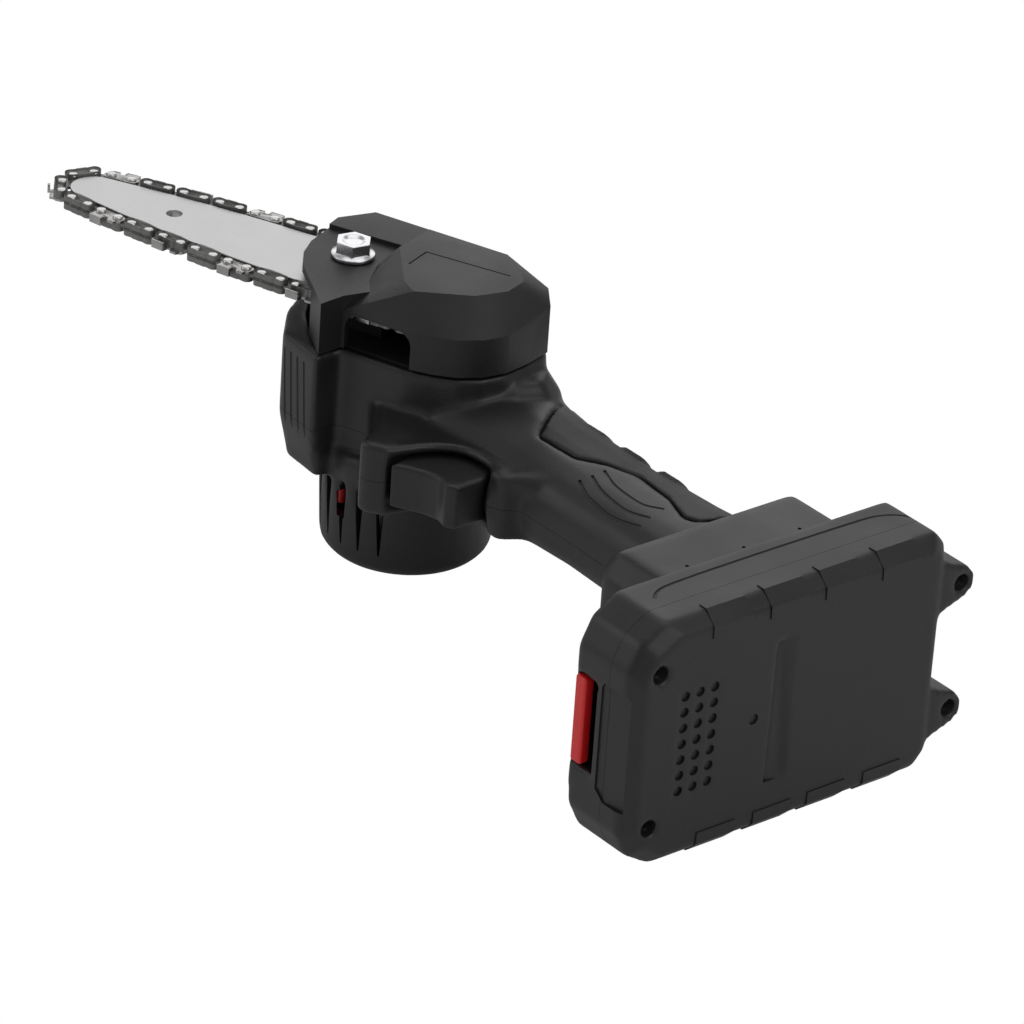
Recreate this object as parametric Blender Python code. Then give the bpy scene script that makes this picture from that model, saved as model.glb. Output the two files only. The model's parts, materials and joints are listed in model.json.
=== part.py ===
# Cordless one-hand mini chainsaw lying on its right side, chain cover up.
# x runs forward along the bar, y toward the trigger, z out of the cover; the bar's middle plane is z 0
# and the sprocket axis is x 0, y 0 until the root empty puts the whole saw on the floor.
import math
import bpy
import bmesh
from mathutils import Matrix, Vector

MM = 0.001

# driving sizes in millimetres
GAP = 0.3                  # gap between pieces that touch
LINK_PITCH = 12.7          # one drive link and its strap, quarter inch chain
LINKS = 28
SPROCKET_TEETH = 8
NOSE_R = 10.76             # rivet path round the bar nose
BELLY_R = 600.0            # rivet path along the bar sides
CHAIN_HALF = 2.3           # half thickness over the side straps
STRAP = 2.7                # strap edge from the rivet path
CUTTER_TOP = 4.1           # cutter top from the rivet path
CUTTER_START = 6.4         # first cutter along the path from the nose tip
TANG = 5.6                 # drive tang tip from the rivet path
TANG_HALF = 0.45
BAR_HALF = 1.5             # half thickness of the guide bar
BAR_TAIL = 11.0            # half width of the bar tail
BAR_TRAVEL = 4.0           # slack taken up by the bar
GROOVE_HALF = 0.75
GROOVE_DEEP = 6.6
BOLT_X = 39.3              # clamp bolt axis ahead of the sprocket
BOLT_R = 2.9
RIM_Z = -10.0              # bottom edge of the cover
PLATE_Z = 7.1              # low front face of the cover
BAND_Z = 8.5               # raised strip along the cover's top side
CROWN_Z = 12.5             # top of the cover
EAVE_Z = 2.5               # where the cover walls turn into the roof
COVER_WALL = 2.2
WALL = 2.5                 # housing wall
MID_Z = -36.0              # plane between the housing halves
HEAD_LOW_Z = -50.5         # underside of the head
FOOT_HALF = 30.0           # half width of the foot
MOTOR_X = 15.0             # motor axis ahead of the sprocket
CASE_LOW_Z = -83.0
CAN_R = 18.0               # motor can
CASE_SPACE = 10.2          # from the can to the outside of its casing
CASE_R = CAN_R + CASE_SPACE
LEAD_TURN = math.radians(74.5)
CAN_TOP_Z = -29.8
CAN_LOW_Z = -77.0
SHAFT_R = 4.0              # output shaft
MOTOR_SHAFT_R = 1.6
PINION_TEETH = 10
GEAR_TEETH = 30
PRESSURE = math.radians(25)
BACKLASH = 0.2
GEAR_TOP_Z = -17.0
GEAR_LOW_Z = -24.5
HANDLE_DEG = 160.5         # direction of the handle from the head
HANDLE_Q = -1.2            # handle middle line beside the sprocket
GRIP_THICK = 3.0           # rubber on the handle back
FOOT_H = 128.0             # front of the battery foot along the handle
FOOT_DEEP = 30.0           # foot from its front to the face the battery slides along
DOCK_H = FOOT_H + FOOT_DEEP
PACK_THICK = 30.1          # battery from that face to its bottom
PACK_H = DOCK_H + PACK_THICK
BASE_DEEP = 12.1           # lower case of the battery
PACK_SPLIT = PACK_H - BASE_DEEP
PACK_WALL = 2.4
CELL_R = 9.1
CELL_LONG = 65.0
CELL_SPACE = 1.3           # between two cells
CELL_STEP = 2 * CELL_R + CELL_SPACE
CELL_ROOM = 1.1            # between the cells and the bottom wall
CELL_H = PACK_H - PACK_WALL - CELL_ROOM - CELL_R
CELL_SIDE = 6.0            # from a cell's end to the outside of the battery
PACK_HALF = CELL_LONG / 2 + CELL_SIDE
PACK_FRONT = 84.0          # front end of the battery, trigger side
FIRST_CELL = 22.8          # from the front end to the first cell's axis
REAR_ROOM = 5.2            # from the last cell to the rear end
PACK_REAR = PACK_FRONT - FIRST_CELL - 4 * CELL_STEP - CELL_R - REAR_ROOM
RAIL_NECK = 13.0           # half width of the battery rail's neck
RAIL_HEAD = 16.7
TRIGGER_TRAVEL = 6.0
TRIGGER_HALF = 7.3
LATCH_TRAVEL = 4.0

for item in list(bpy.data.objects):
    bpy.data.objects.remove(item)

ROOT = bpy.data.objects.new("saw_place", None)
bpy.context.scene.collection.objects.link(ROOT)
MADE = []


def paint(name, colour, rough, metal):
    mat = bpy.data.materials.new(name)
    mat.use_nodes = True
    shader = mat.node_tree.nodes["Principled BSDF"]
    shader.inputs["Base Color"].default_value = (*colour, 1)
    shader.inputs["Roughness"].default_value = rough
    shader.inputs["Metallic"].default_value = metal
    return mat


def along(h, q, z):
    # handle frame: h along the handle, q toward the trigger, z as it is
    turn = math.radians(HANDLE_DEG)
    c = math.cos(turn)
    s = math.sin(turn)
    return (c * h + s * q, s * h - c * q, z)


def solid(name, verts, faces):
    mesh = bpy.data.meshes.new(name)
    bm = bmesh.new()
    made = [bm.verts.new(Vector(v) * MM) for v in verts]
    for face in faces:
        bm.faces.new([made[i] for i in face])
    bmesh.ops.recalc_face_normals(bm, faces=bm.faces)
    bm.to_mesh(mesh)
    bm.free()
    obj = bpy.data.objects.new(name, mesh)
    bpy.context.scene.collection.objects.link(obj)
    return obj


def stack(name, rings):
    # one closed body through loops of the same count
    count = len(rings[0])
    verts = [v for ring in rings for v in ring]
    faces = [list(range(count))[::-1]]
    for level in range(len(rings) - 1):
        low = level * count
        for i in range(count):
            j = (i + 1) % count
            faces.append((low + i, low + j, low + count + j, low + count + i))
    top = (len(rings) - 1) * count
    faces.append(list(range(top, top + count)))
    return solid(name, verts, faces)


def prism(name, outline, low, high):
    return stack(name, [[(x, y, z) for x, y in outline] for z in (low, high)])


def side_prism(name, outline, low, high):
    # outline in handle coordinates
    return stack(name, [[along(h, q, z) for h, q in outline] for z in (low, high)])


def slab(name, outline, start, end):
    # outline across the handle (q, z), extruded along it
    return stack(name, [[along(h, q, z) for q, z in outline] for h in (start, end)])


def box(name, low, high):
    x0, y0, z0 = low
    x1, y1, z1 = high
    return prism(name, [(x0, y0), (x1, y0), (x1, y1), (x0, y1)], z0, z1)


def circle(x, y, r, count=24, start=0.0):
    step = 2 * math.pi / count
    return [(x + r * math.cos(start + i * step), y + r * math.sin(start + i * step)) for i in range(count)]


def rod(name, x, y, r, low, high, count=24):
    return prism(name, circle(x, y, r, count), low, high)


def turned(name, x, y, profile, count=24):
    # profile of (radius, z) from the lower end to the upper end, both ends flat
    rings = []
    for r, z in profile:
        rings.append([(px, py, z) for px, py in circle(x, y, r, count)])
    return stack(name, rings)


def ring(name, x, y, inner, outer, low, high, count=24):
    # closed tube
    verts = []
    for r, z in ((inner, low), (outer, low), (outer, high), (inner, high)):
        verts += [(px, py, z) for px, py in circle(x, y, r, count)]
    faces = []
    for level in range(4):
        a = level * count
        b = ((level + 1) % 4) * count
        for i in range(count):
            j = (i + 1) % count
            faces.append((a + i, a + j, b + j, b + i))
    return solid(name, verts, faces)


def hull(name, points):
    mesh = bpy.data.meshes.new(name)
    bm = bmesh.new()
    for p in points:
        bm.verts.new(Vector(p) * MM)
    bmesh.ops.convex_hull(bm, input=bm.verts, use_existing_faces=False)
    spare = [v for v in bm.verts if not v.link_faces]
    bmesh.ops.delete(bm, geom=spare, context="VERTS")
    bmesh.ops.recalc_face_normals(bm, faces=bm.faces)
    bm.to_mesh(mesh)
    bm.free()
    obj = bpy.data.objects.new(name, mesh)
    bpy.context.scene.collection.objects.link(obj)
    return obj


def boolean(obj, tool, how, keep=False):
    mod = obj.modifiers.new("cut", "BOOLEAN")
    mod.object = tool
    mod.operation = how
    mod.solver = "EXACT"
    graph = bpy.context.evaluated_depsgraph_get()
    mesh = bpy.data.meshes.new_from_object(obj.evaluated_get(graph))
    obj.modifiers.clear()
    obj.data = mesh
    bm = bmesh.new()
    bm.from_mesh(mesh)
    bmesh.ops.remove_doubles(bm, verts=bm.verts, dist=0.000001)
    bmesh.ops.dissolve_degenerate(bm, edges=bm.edges, dist=0.000001)
    bm.to_mesh(mesh)
    bm.free()
    if not keep:
        bpy.data.objects.remove(tool)
    return obj


def less(obj, *tools):
    for tool in tools:
        boolean(obj, tool, "DIFFERENCE")
    return obj


def plus(obj, *tools):
    for tool in tools:
        boolean(obj, tool, "UNION")
    return obj


def twin(obj, name):
    copy = bpy.data.objects.new(name, obj.data.copy())
    bpy.context.scene.collection.objects.link(copy)
    return copy


def node(obj, name, mat, pivot=(0, 0, 0)):
    spot = Vector(pivot) * MM
    obj.name = name
    obj.data.name = name
    obj.data.transform(Matrix.Translation(-spot))
    obj.location = spot
    obj.parent = ROOT
    obj.data.materials.clear()
    obj.data.materials.append(mat)
    MADE.append(obj)
    return obj


def inset(outline, d):
    # parallel copy of a closed outline, moved inward
    area = sum(a[0] * b[1] - b[0] * a[1] for a, b in zip(outline, outline[1:] + outline[:1]))
    sign = 1 if area > 0 else -1
    out = []
    for i in range(len(outline)):
        a = Vector(outline[i - 1])
        b = Vector(outline[i])
        c = Vector(outline[(i + 1) % len(outline)])
        u = (b - a).normalized()
        v = (c - b).normalized()
        n = Vector((-u.y - v.y, u.x + v.x)) * sign
        side = Vector((-u.y, u.x)) * sign
        p = b + n * (d / max(n.dot(side), 0.2))
        out.append((p.x, p.y))
    return out


def outer_loop(spots):
    # smallest convex outline round flat points
    spots = sorted(set(spots))
    loop = []
    for way in (spots, spots[::-1]):
        part = []
        for p in way:
            while len(part) > 1:
                a = part[-2]
                b = part[-1]
                if (b[0] - a[0]) * (p[1] - a[1]) - (b[1] - a[1]) * (p[0] - a[0]) > 1e-9:
                    break
                part.pop()
            part.append(p)
        loop += part[:-1]
    return loop


def coil(name, start, end, r, wire, turns):
    # round wire wound between two points in one plane of z
    a = Vector(start)
    axis = (Vector(end) - a).normalized()
    length = (Vector(end) - a).length
    up = Vector((0, 0, 1))
    side = axis.cross(up)
    steps = turns * 10
    rings = []
    for i in range(steps + 1):
        t = 2 * math.pi * turns * i / steps
        out = up * math.cos(t) + side * math.sin(t)
        middle = a + axis * (wire + (length - 2 * wire) * i / steps) + out * r
        rings.append([tuple(middle + out * (wire * math.cos(w)) + axis * (wire * math.sin(w)))
                      for w in [2 * math.pi * j / 6 for j in range(6)]])
    return stack(name, rings)


# the loop of the chain
SPROCKET_R = SPROCKET_TEETH * LINK_PITCH / (2 * math.pi)
LOOP = LINKS * LINK_PITCH
BELLY_K = BELLY_R - NOSE_R


def loop_angles(reach):
    c = (reach ** 2 + BELLY_K ** 2 - (BELLY_R - SPROCKET_R) ** 2) / (2 * reach * BELLY_K)
    leave = math.acos(c)
    meet = math.atan2(BELLY_K * math.sin(leave), BELLY_K * math.cos(leave) - reach)
    return leave, meet


def loop_length(reach):
    leave, meet = loop_angles(reach)
    return 2 * (NOSE_R * leave + BELLY_R * (meet - leave) + SPROCKET_R * (math.pi - meet))


low_reach = 60.0
high_reach = 400.0
for _ in range(60):
    REACH = (low_reach + high_reach) / 2
    if loop_length(REACH) < LOOP:
        low_reach = REACH
    else:
        high_reach = REACH
LEAVE, MEET = loop_angles(REACH)
SIDE_END = NOSE_R * LEAVE + BELLY_R * (MEET - LEAVE)


def path(s, off):
    # point beside the rivet path, s from the nose tip round by the trigger side
    s = s % LOOP
    flip = 1
    if s > LOOP / 2:
        s = LOOP - s
        flip = -1
    if s < NOSE_R * LEAVE:
        a = s / NOSE_R
        x = REACH + (NOSE_R + off) * math.cos(a)
        y = (NOSE_R + off) * math.sin(a)
    elif s < SIDE_END:
        a = LEAVE + (s - NOSE_R * LEAVE) / BELLY_R
        x = REACH - BELLY_K * math.cos(LEAVE) + (BELLY_R + off) * math.cos(a)
        y = -BELLY_K * math.sin(LEAVE) + (BELLY_R + off) * math.sin(a)
    else:
        a = MEET + (s - SIDE_END) / SPROCKET_R
        x = (SPROCKET_R + off) * math.cos(a)
        y = (SPROCKET_R + off) * math.sin(a)
    return (x, flip * y)


BLACK = (0.012, 0.012, 0.013)
black_plastic = paint("black_plastic", BLACK, 0.55, 0)
cover_plastic = paint("cover_plastic", BLACK, 0.5, 0)
pack_plastic = paint("battery_plastic", BLACK, 0.5, 0)
rubber = paint("grip_rubber", (0.008, 0.008, 0.008), 0.8, 0)
red_plastic = paint("red_plastic", (0.55, 0.01, 0.01), 0.4, 0)
steel = paint("brushed_bar", (0.55, 0.55, 0.56), 0.35, 1)
chain_steel = paint("chain_steel", (0.2, 0.2, 0.2), 0.35, 1)
zinc = paint("bright_zinc", (0.75, 0.75, 0.77), 0.2, 1)
gear_steel = paint("gear_steel", (0.35, 0.35, 0.36), 0.35, 1)
cast = paint("cast_aluminium", (0.6, 0.6, 0.6), 0.5, 1)
copper = paint("copper", (0.7, 0.35, 0.2), 0.4, 1)
dark_ferrite = paint("ferrite", (0.05, 0.05, 0.05), 0.7, 0)
cell_wrap = paint("cell_wrap", (0.05, 0.25, 0.55), 0.4, 0)
board_green = paint("board_green", (0.02, 0.2, 0.06), 0.5, 0)

# guide bar with a groove round its edge
RAIL = STRAP + GAP
RAIL_STOP = NOSE_R * LEAVE + BELLY_R * (math.pi / 2 - LEAVE) + 4
nose_steps = [NOSE_R * LEAVE * i / 8 for i in range(9)]
side_steps = [NOSE_R * LEAVE + (RAIL_STOP - NOSE_R * LEAVE) * i / 5 for i in range(1, 6)]
bar_steps = nose_steps + side_steps


def bar_outline(deep):
    half = [path(s, -RAIL - deep) for s in bar_steps]
    tail = min(deep, 1.0)
    half += [(32, BAR_TAIL - tail), (22, BAR_TAIL - tail), (20 + tail, BAR_TAIL - 3)]
    return half + [(x, -y) for x, y in half[:0:-1]]


def at_z(outline, z):
    return [(x, y, z) for x, y in outline]


full = bar_outline(0)
deep = bar_outline(GROOVE_DEEP)
bar = stack("bar", [at_z(full, -BAR_HALF), at_z(full, -GROOVE_HALF), at_z(deep, -GROOVE_HALF),
                    at_z(deep, GROOVE_HALF), at_z(full, GROOVE_HALF), at_z(full, BAR_HALF)])
slot_r = BOLT_R + GAP
slot = [(BOLT_X - 1 + x, y) for x, y in circle(0, 0, slot_r, 16, math.pi / 2)[:9]]
slot += [(BOLT_X + BAR_TRAVEL + 1 + x, y) for x, y in circle(0, 0, slot_r, 16, -math.pi / 2)[:9]]
less(bar, prism("t", slot, -4, 4), rod("t", REACH - 30, 0, 2.5, -4, 4, 16))
node(bar, "guide_bar", steel, (BOLT_X, 0, 0))

# saw chain, every link joined into one loop
outer = []
inner = []
for k in range(LINKS):
    middle = CUTTER_START + k * LINK_PITCH
    tall = CUTTER_TOP if k % 2 == 0 else STRAP
    for part, off in ((-6.2, STRAP - 1), (-3.0, STRAP), (-2.9, tall), (2.2, tall), (3.1, STRAP - 0.4)):
        outer.append(path(middle + part, off))
    for part in (-6.2, -3.0, -2.9, 2.2, 3.1):
        inner.append(path(middle + part, -STRAP))
count = len(outer)
verts = at_z(inner, -CHAIN_HALF) + at_z(outer, -CHAIN_HALF)
verts += at_z(outer, CHAIN_HALF) + at_z(inner, CHAIN_HALF)
faces = []
for level in range(4):
    a = level * count
    b = ((level + 1) % 4) * count
    for i in range(count):
        j = (i + 1) % count
        faces.append((a + i, a + j, b + j, b + i))
chain = solid("chain", verts, faces)
TANG_FROM = NOSE_R * LEAVE + 2
for k in range(LINKS):
    middle = (CUTTER_START + (k + 0.5) * LINK_PITCH) % LOOP
    near = min(middle, LOOP - middle)
    if TANG_FROM < near < RAIL_STOP - 6:
        tooth = [path(middle - 3, -1), path(middle - 2.6, -TANG), path(middle + 1, -TANG),
                 path(middle + 3, -1)]
        plus(chain, prism("t", tooth, -TANG_HALF, TANG_HALF))
node(chain, "saw_chain", chain_steel)

# sprocket, shaft and gears
TOOTH_TIP = SPROCKET_R - STRAP - GAP - 0.3
star = []
first = (LOOP / 2 - CUTTER_START) / LINK_PITCH
rest = math.pi - (first - math.floor(first)) * 2 * math.pi / SPROCKET_TEETH
for k in range(SPROCKET_TEETH):
    a = rest + 2 * math.pi * k / SPROCKET_TEETH
    for part, r in ((-0.20, TOOTH_TIP), (0.20, TOOTH_TIP),
                    (0.29, TOOTH_TIP - 3.6), (0.50, TOOTH_TIP - 3.6)):
        star.append((r * math.cos(a + part), r * math.sin(a + part)))
sprocket = prism("sprocket", star, -2.6, 2.6)
less(sprocket, rod("t", 0, 0, SHAFT_R + GAP, -5, 5))
node(sprocket, "drive_sprocket", gear_steel)
shaft = turned("shaft", 0, 0, [(SHAFT_R, -29.0), (SHAFT_R, -6.6), (5.6, -6.6), (5.6, -2.9), (SHAFT_R, -2.9),
                               (SHAFT_R, 3.0), (SHAFT_R - 0.8, 3.0), (SHAFT_R - 0.8, 4.2), (SHAFT_R, 4.2),
                               (SHAFT_R - 0.4, 5.4)])
node(shaft, "output_shaft", gear_steel)
clip = ring("clip", 0, 0, SHAFT_R - 0.5, SHAFT_R + 2, 3.2, 4.0)
less(clip, box("t", (0, -1.2, 2), (9, 1.2, 6)))
node(clip, "snap_ring", gear_steel)

MODULE = 2 * MOTOR_X / (PINION_TEETH + GEAR_TEETH)


def involute(r_base, r):
    return math.sqrt(max((r / r_base) ** 2 - 1, 0)) - math.acos(min(r_base / r, 1))


def gear_outline(x, y, teeth, turn):
    r_pitch = MODULE * teeth / 2
    r_base = r_pitch * math.cos(PRESSURE)
    r_tip = r_pitch + 0.8 * MODULE
    r_root = r_pitch - 1.1 * MODULE
    half = math.pi / (2 * teeth) - BACKLASH / (2 * r_pitch) + involute(r_base, r_pitch)
    flank = []
    for i in range(5):
        r = max(r_base, r_root + 0.05) + (r_tip - max(r_base, r_root + 0.05)) * i / 4
        flank.append((r, half - involute(r_base, r)))
    out = []
    for k in range(teeth):
        a = turn + 2 * math.pi * k / teeth
        out.append((r_root, a - half))
        out += [(r, a - b) for r, b in flank]
        out += [(r, a + b) for r, b in flank[::-1]]
        out.append((r_root, a + half))
    return [(x + r * math.cos(a), y + r * math.sin(a)) for r, a in out]


gear = prism("gear", gear_outline(0, 0, GEAR_TEETH, 0), GEAR_LOW_Z, GEAR_TOP_Z)
less(gear, rod("t", 0, 0, SHAFT_R + GAP, -30, 0))
node(gear, "drive_gear", gear_steel)
pinion_turn = math.pi + math.pi / PINION_TEETH
pinion = prism("pinion", gear_outline(MOTOR_X, 0, PINION_TEETH, pinion_turn),
               GEAR_LOW_Z - 0.2, GEAR_TOP_Z + 0.2)
less(pinion, rod("t", MOTOR_X, 0, MOTOR_SHAFT_R + GAP, -30, 0, 16))
node(pinion, "motor_pinion", gear_steel, (MOTOR_X, 0, 0))
BEARING_R = 9.5
bearing = ring("bearing", 0, 0, SHAFT_R + GAP, BEARING_R, -13.9, -8.0)
node(bearing, "bearing_upper", gear_steel)
bearing = ring("bearing", 0, 0, SHAFT_R + GAP, 8.0, -29.0, -25.3)
node(bearing, "bearing_lower", gear_steel)

# outline shared by the cover and the head of the housing
ROUND = [(4, 24.6), (-4.5, 22.9), (-11.8, 20), (-17.9, 14.8), (-21.9, 7.5), (-23.6, -2), (-24, -12),
         (-17, -22),
         (2, -28.5)]
FRONT = [(49.5, -28), (56.5, -17.5), (55.2, -1), (52.6, 7), (48.3, 14), (28.7, 33.3), (26.5, 24.6)]
OUTLINE = ROUND + FRONT
HEAD = ROUND + [(49.5, -28), (57.5, -17.5), (57.5, 0), (54.5, 12), (46.5, 26), (29, 34), (26.5, 24.6)]
CROWN = [(26, -5), (23, -12), (15, -18), (-11, -15), (-16, -9), (-16, 0), (-10, 9), (6, 18), (12, 14)]

# plate that carries the bar and the upper bearing
PLATE_TOP = RIM_Z - GAP
plate = prism("plate", inset(OUTLINE, WALL + GAP), PLATE_TOP - 3, PLATE_TOP)
plus(plate, rod("t", 0, 0, 12.0, PLATE_TOP - 3.6, -7.0))
plus(plate, box("t", (20.5, -11.5, PLATE_TOP - 2), (46, 11.5, -BAR_HALF - GAP)))
less(plate, rod("t", 0, 0, BEARING_R + GAP, -30, -7.7), rod("t", 0, 0, 7.0, -9, 0))
less(plate, rod("t", BOLT_X, 0, BOLT_R + GAP, -30, 0))
node(plate, "bar_plate", cast)

# cover over the sprocket
eaves = ROUND[:6] + [(26.5, 24.6)]
points = [(x, y, z) for x, y in eaves for z in (RIM_Z, EAVE_Z)]
points += [(x, y, z) for x, y in ROUND[6:8] for z in (RIM_Z, EAVE_Z + 3)]
points += [(x, y, z) for x, y in [ROUND[8], (30, -28.3)] for z in (RIM_Z, BAND_Z)]
points += at_z(CROWN, CROWN_Z) + [(30, 1, PLATE_Z)]
cover = hull("cover", points)
plus(cover, prism("t", FRONT + [(16, 8), (18, -28.2)], RIM_Z, PLATE_Z))
plus(cover, prism("t", [(56, -12), (30, -13.5), (20, -16), (19, -28.22), (49.5, -28), (56.5, -17.5)],
                  RIM_Z, BAND_Z))
CEILING = PLATE_Z - 2.7
less(cover, prism("t", inset(OUTLINE, COVER_WALL), RIM_Z - 1, CEILING - 0.9))
less(cover, prism("t", inset(CROWN, 2.0), CEILING - 2, CROWN_Z - 2.6))
less(cover, box("t", (30, -25.4, RIM_Z - 1), (62, 23.4, CEILING)))
window = [(4.5, RIM_Z - 1), (4.5, -1.5), (6.5, 0.5), (21.5, 0.5), (23.5, -1.5), (23.5, RIM_Z - 1)]
less(cover, stack("t", [[(x, y, z) for x, z in window] for y in (18, 30)]))
less(cover, rod("t", BOLT_X, 0, BOLT_R + GAP, 0, 20))
node(cover, "sprocket_cover", cover_plastic)

# flange bolt that clamps the cover and bar
bolt = turned("bolt", BOLT_X, 0, [(BOLT_R - 0.5, -13), (BOLT_R, -12), (BOLT_R, PLATE_Z + GAP),
                                  (6.8, PLATE_Z + GAP), (6.8, PLATE_Z + GAP + 1.0), (5.4, PLATE_Z + 2.0)])
hex_r = 5.0 / math.cos(math.pi / 6)
plus(bolt, prism("t", circle(BOLT_X, 0, hex_r, 6), PLATE_Z + 1.5, PLATE_Z + 5.6))
less(bolt, turned("t", BOLT_X, 0, [(2.6, PLATE_Z + 4.9), (4.0, PLATE_Z + 5.8)]))
node(bolt, "bar_clamp_bolt", zinc, (BOLT_X, 0, 0))

# whole housing, then its hollow, then the two halves
FOOT_IN = 3.0              # handle sunk into the foot
HANDLE_STATIONS = [(14, 25.0, 19.0), (45, 21.0, 16.5), (75, 20.3, 15.6), (105, 21.0, 16.5),
                   (FOOT_H + FOOT_IN, 22.5, 18.0)]


def grip_section(h, a, b, thinner):
    out = []
    for i in range(20):
        t = 2 * math.pi * i / 20
        c = math.cos(t)
        s = math.sin(t)
        q = HANDLE_Q + (a - thinner) * math.copysign(abs(c) ** 0.8, c)
        z = MID_Z + (b - thinner) * math.copysign(abs(s) ** 0.8, s)
        out.append(along(h, q, z))
    return out


def handle(name, thinner, first=0, last=0):
    stations = [(h, a, b) for h, a, b in HANDLE_STATIONS]
    stations[0] = (stations[0][0] + first, *stations[0][1:])
    stations[-1] = (stations[-1][0] + last, *stations[-1][1:])
    return stack(name, [grip_section(h, a, b, thinner) for h, a, b in stations])


def foot_outline(grow):
    half = [(-23 - grow, FOOT_HALF - 6), (-18, FOOT_HALF + grow), (46, FOOT_HALF + grow),
            (52 + grow, FOOT_HALF - 7)]
    return half + [(q, -z) for q, z in half[::-1]]


def foot(name, grow, front, back):
    levels = [(front, grow - 5), (front + 5, grow), (back, grow)]
    return stack(name, [[along(h, q, MID_Z + z) for q, z in foot_outline(g)] for h, g in levels])


POST = [(18, 22), (8, 30), (4.5, 38), (3.2, 48.6), (-0.5, 49.6), (-6.5, 47.3), (-4, 22)]
SHOULDER = [(-14, 16), (-27, 9), (-34, -1), (-31, -11), (-22, -19), (-12, -22)]
GUARD = [(-3, 46.5), (-8, 42), (-14, 34), (-22, 29.5), (-29, 30), (-36, 33), (-42, 34), (-40, 14),
         (-10, 10), (2, 17)]
STOP = [(44, 12), (47, 24.3), (53, 24.5), (57.5, 17.5), (60, 10)]
body = stack("body", [at_z(inset(HEAD, 2.5), HEAD_LOW_Z), at_z(HEAD, HEAD_LOW_Z + 12),
                      at_z(HEAD, PLATE_TOP)])
plus(body, stack("t", [at_z(SHOULDER, MID_Z - 9), at_z(SHOULDER, MID_Z + 15),
                       at_z(inset(SHOULDER, 5), RIM_Z - 4)]))
plus(body, handle("t", 0))
plus(body, foot("t", 0, FOOT_H, DOCK_H))
plus(body, prism("t", POST, MID_Z - 12, MID_Z + 12))
plus(body, prism("t", GUARD, MID_Z - TRIGGER_HALF - 3.5, MID_Z + TRIGGER_HALF + 3.5))
plus(body, side_prism("t", STOP, MID_Z - 11, MID_Z + 11))
plus(body, turned("t", MOTOR_X, 0, [(CASE_R - 5, CASE_LOW_Z), (CASE_R - 1.6, CASE_LOW_Z + 3.5),
                                    (CASE_R, HEAD_LOW_Z + 4)], 32))

# rubber on the handle back fills a recess
GRIP_EDGE = [(29, -40), (32, -15), (36, -9), (45, 3.5), (61, 2.5), (69, -2.8), (80, -6.4), (95, -4.6),
             (108, 0),
             (112.5, -1.4), (114, -6), (115, -40)]
wide = side_prism("t", inset(GRIP_EDGE, -GAP), MID_Z - 40, MID_Z + 40)
less(wide, handle("t", GRIP_THICK + GAP, -8, 8))
less(body, wide)
grip = handle("grip", 0)
boolean(grip, side_prism("t", GRIP_EDGE, MID_Z - 40, MID_Z + 40), "INTERSECT")
less(grip, handle("t", GRIP_THICK, -8, 8))
node(grip, "grip_insert", rubber)

hollow = prism("hollow", inset(OUTLINE, WALL), HEAD_LOW_Z + WALL + 1, 0)
plus(hollow, handle("t", GRIP_THICK + GAP + WALL, -4, 0))
plus(hollow, rod("t", MOTOR_X, 0, CASE_R - 1.6 - WALL, CASE_LOW_Z + WALL + 1, HEAD_LOW_Z + 6, 32))
SCREWS = [(62, 9.3), (97, 6.5)]
for h, q in SCREWS:
    x, y, z = along(h, q, 0)
    less(hollow, rod("t", x, y, 4.0, MID_Z - 30, MID_Z + 30, 16))
less(body, hollow)
for k, (h, q) in enumerate(SCREWS):
    x, y, z = along(h, q, 0)
    less(body, rod("t", x, y, 1.6, MID_Z - 30, MID_Z + 9, 12),
         rod("t", x, y, 2.9, MID_Z - 30, MID_Z - 10, 12))
    screw = turned("screw", x, y, [(2.6, MID_Z - 12), (2.6, MID_Z - 10.3), (1.3, MID_Z - 10.3),
                                   (1.3, MID_Z + 8.5)], 12)
    node(screw, "housing_screw_%d" % (k + 1), zinc)

# channel for the battery rail, open at the trigger end
NECK = RAIL_NECK + GAP
WIDE = RAIL_HEAD + GAP
NECK_H = DOCK_H - 5
channel = [(DOCK_H + 1, -NECK), (DOCK_H + 1, NECK), (NECK_H, NECK), (NECK_H, WIDE), (NECK_H - 7, WIDE),
           (NECK_H - 7, -WIDE), (NECK_H, -WIDE), (NECK_H, -NECK)]
rows = []
for q in (-18, 60):
    rows.append([along(h, q, MID_Z + z) for h, z in channel])
less(body, stack("t", rows))

# pocket for the trigger, vents and screws
TRIGGER = [(-8, 48), (-13, 46.8), (-19, 45.9), (-24, 46.3), (-28, 49), (-31.5, 48), (-35, 38), (-33, 26),
           (-16, 21), (-9, 33)]
PULL = Vector(along(0, -1, 0))
pocket = []
for x, y in TRIGGER:
    for far in (0, TRIGGER_TRAVEL + 0.6):
        pocket += [(x + PULL.x * far + dx, y + PULL.y * far + dy)
                   for dx in (-GAP, GAP) for dy in (-GAP, GAP)]
less(body, prism("t", outer_loop(pocket), MID_Z - TRIGGER_HALF - GAP, MID_Z + TRIGGER_HALF + GAP))
for k in range(12):
    a = LEAD_TURN + math.radians(30 - 15 * k)
    c = Vector((MOTOR_X + CASE_R * math.cos(a), CASE_R * math.sin(a)))
    u = Vector((math.cos(a), math.sin(a))) * 5
    v = Vector((-math.sin(a), math.cos(a)))
    low = [c - u - v * 0.4, c + u - v * 0.4, c + u + v * 0.4, c - u + v * 0.4]
    top = [c - u - v * 1.1, c + u - v * 1.1, c + u + v * 1.1, c - u + v * 1.1]
    less(body, stack("t", [[(p.x, p.y, CASE_LOW_Z + 9) for p in low],
                           [(p.x, p.y, HEAD_LOW_Z - 3) for p in top]]))

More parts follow.
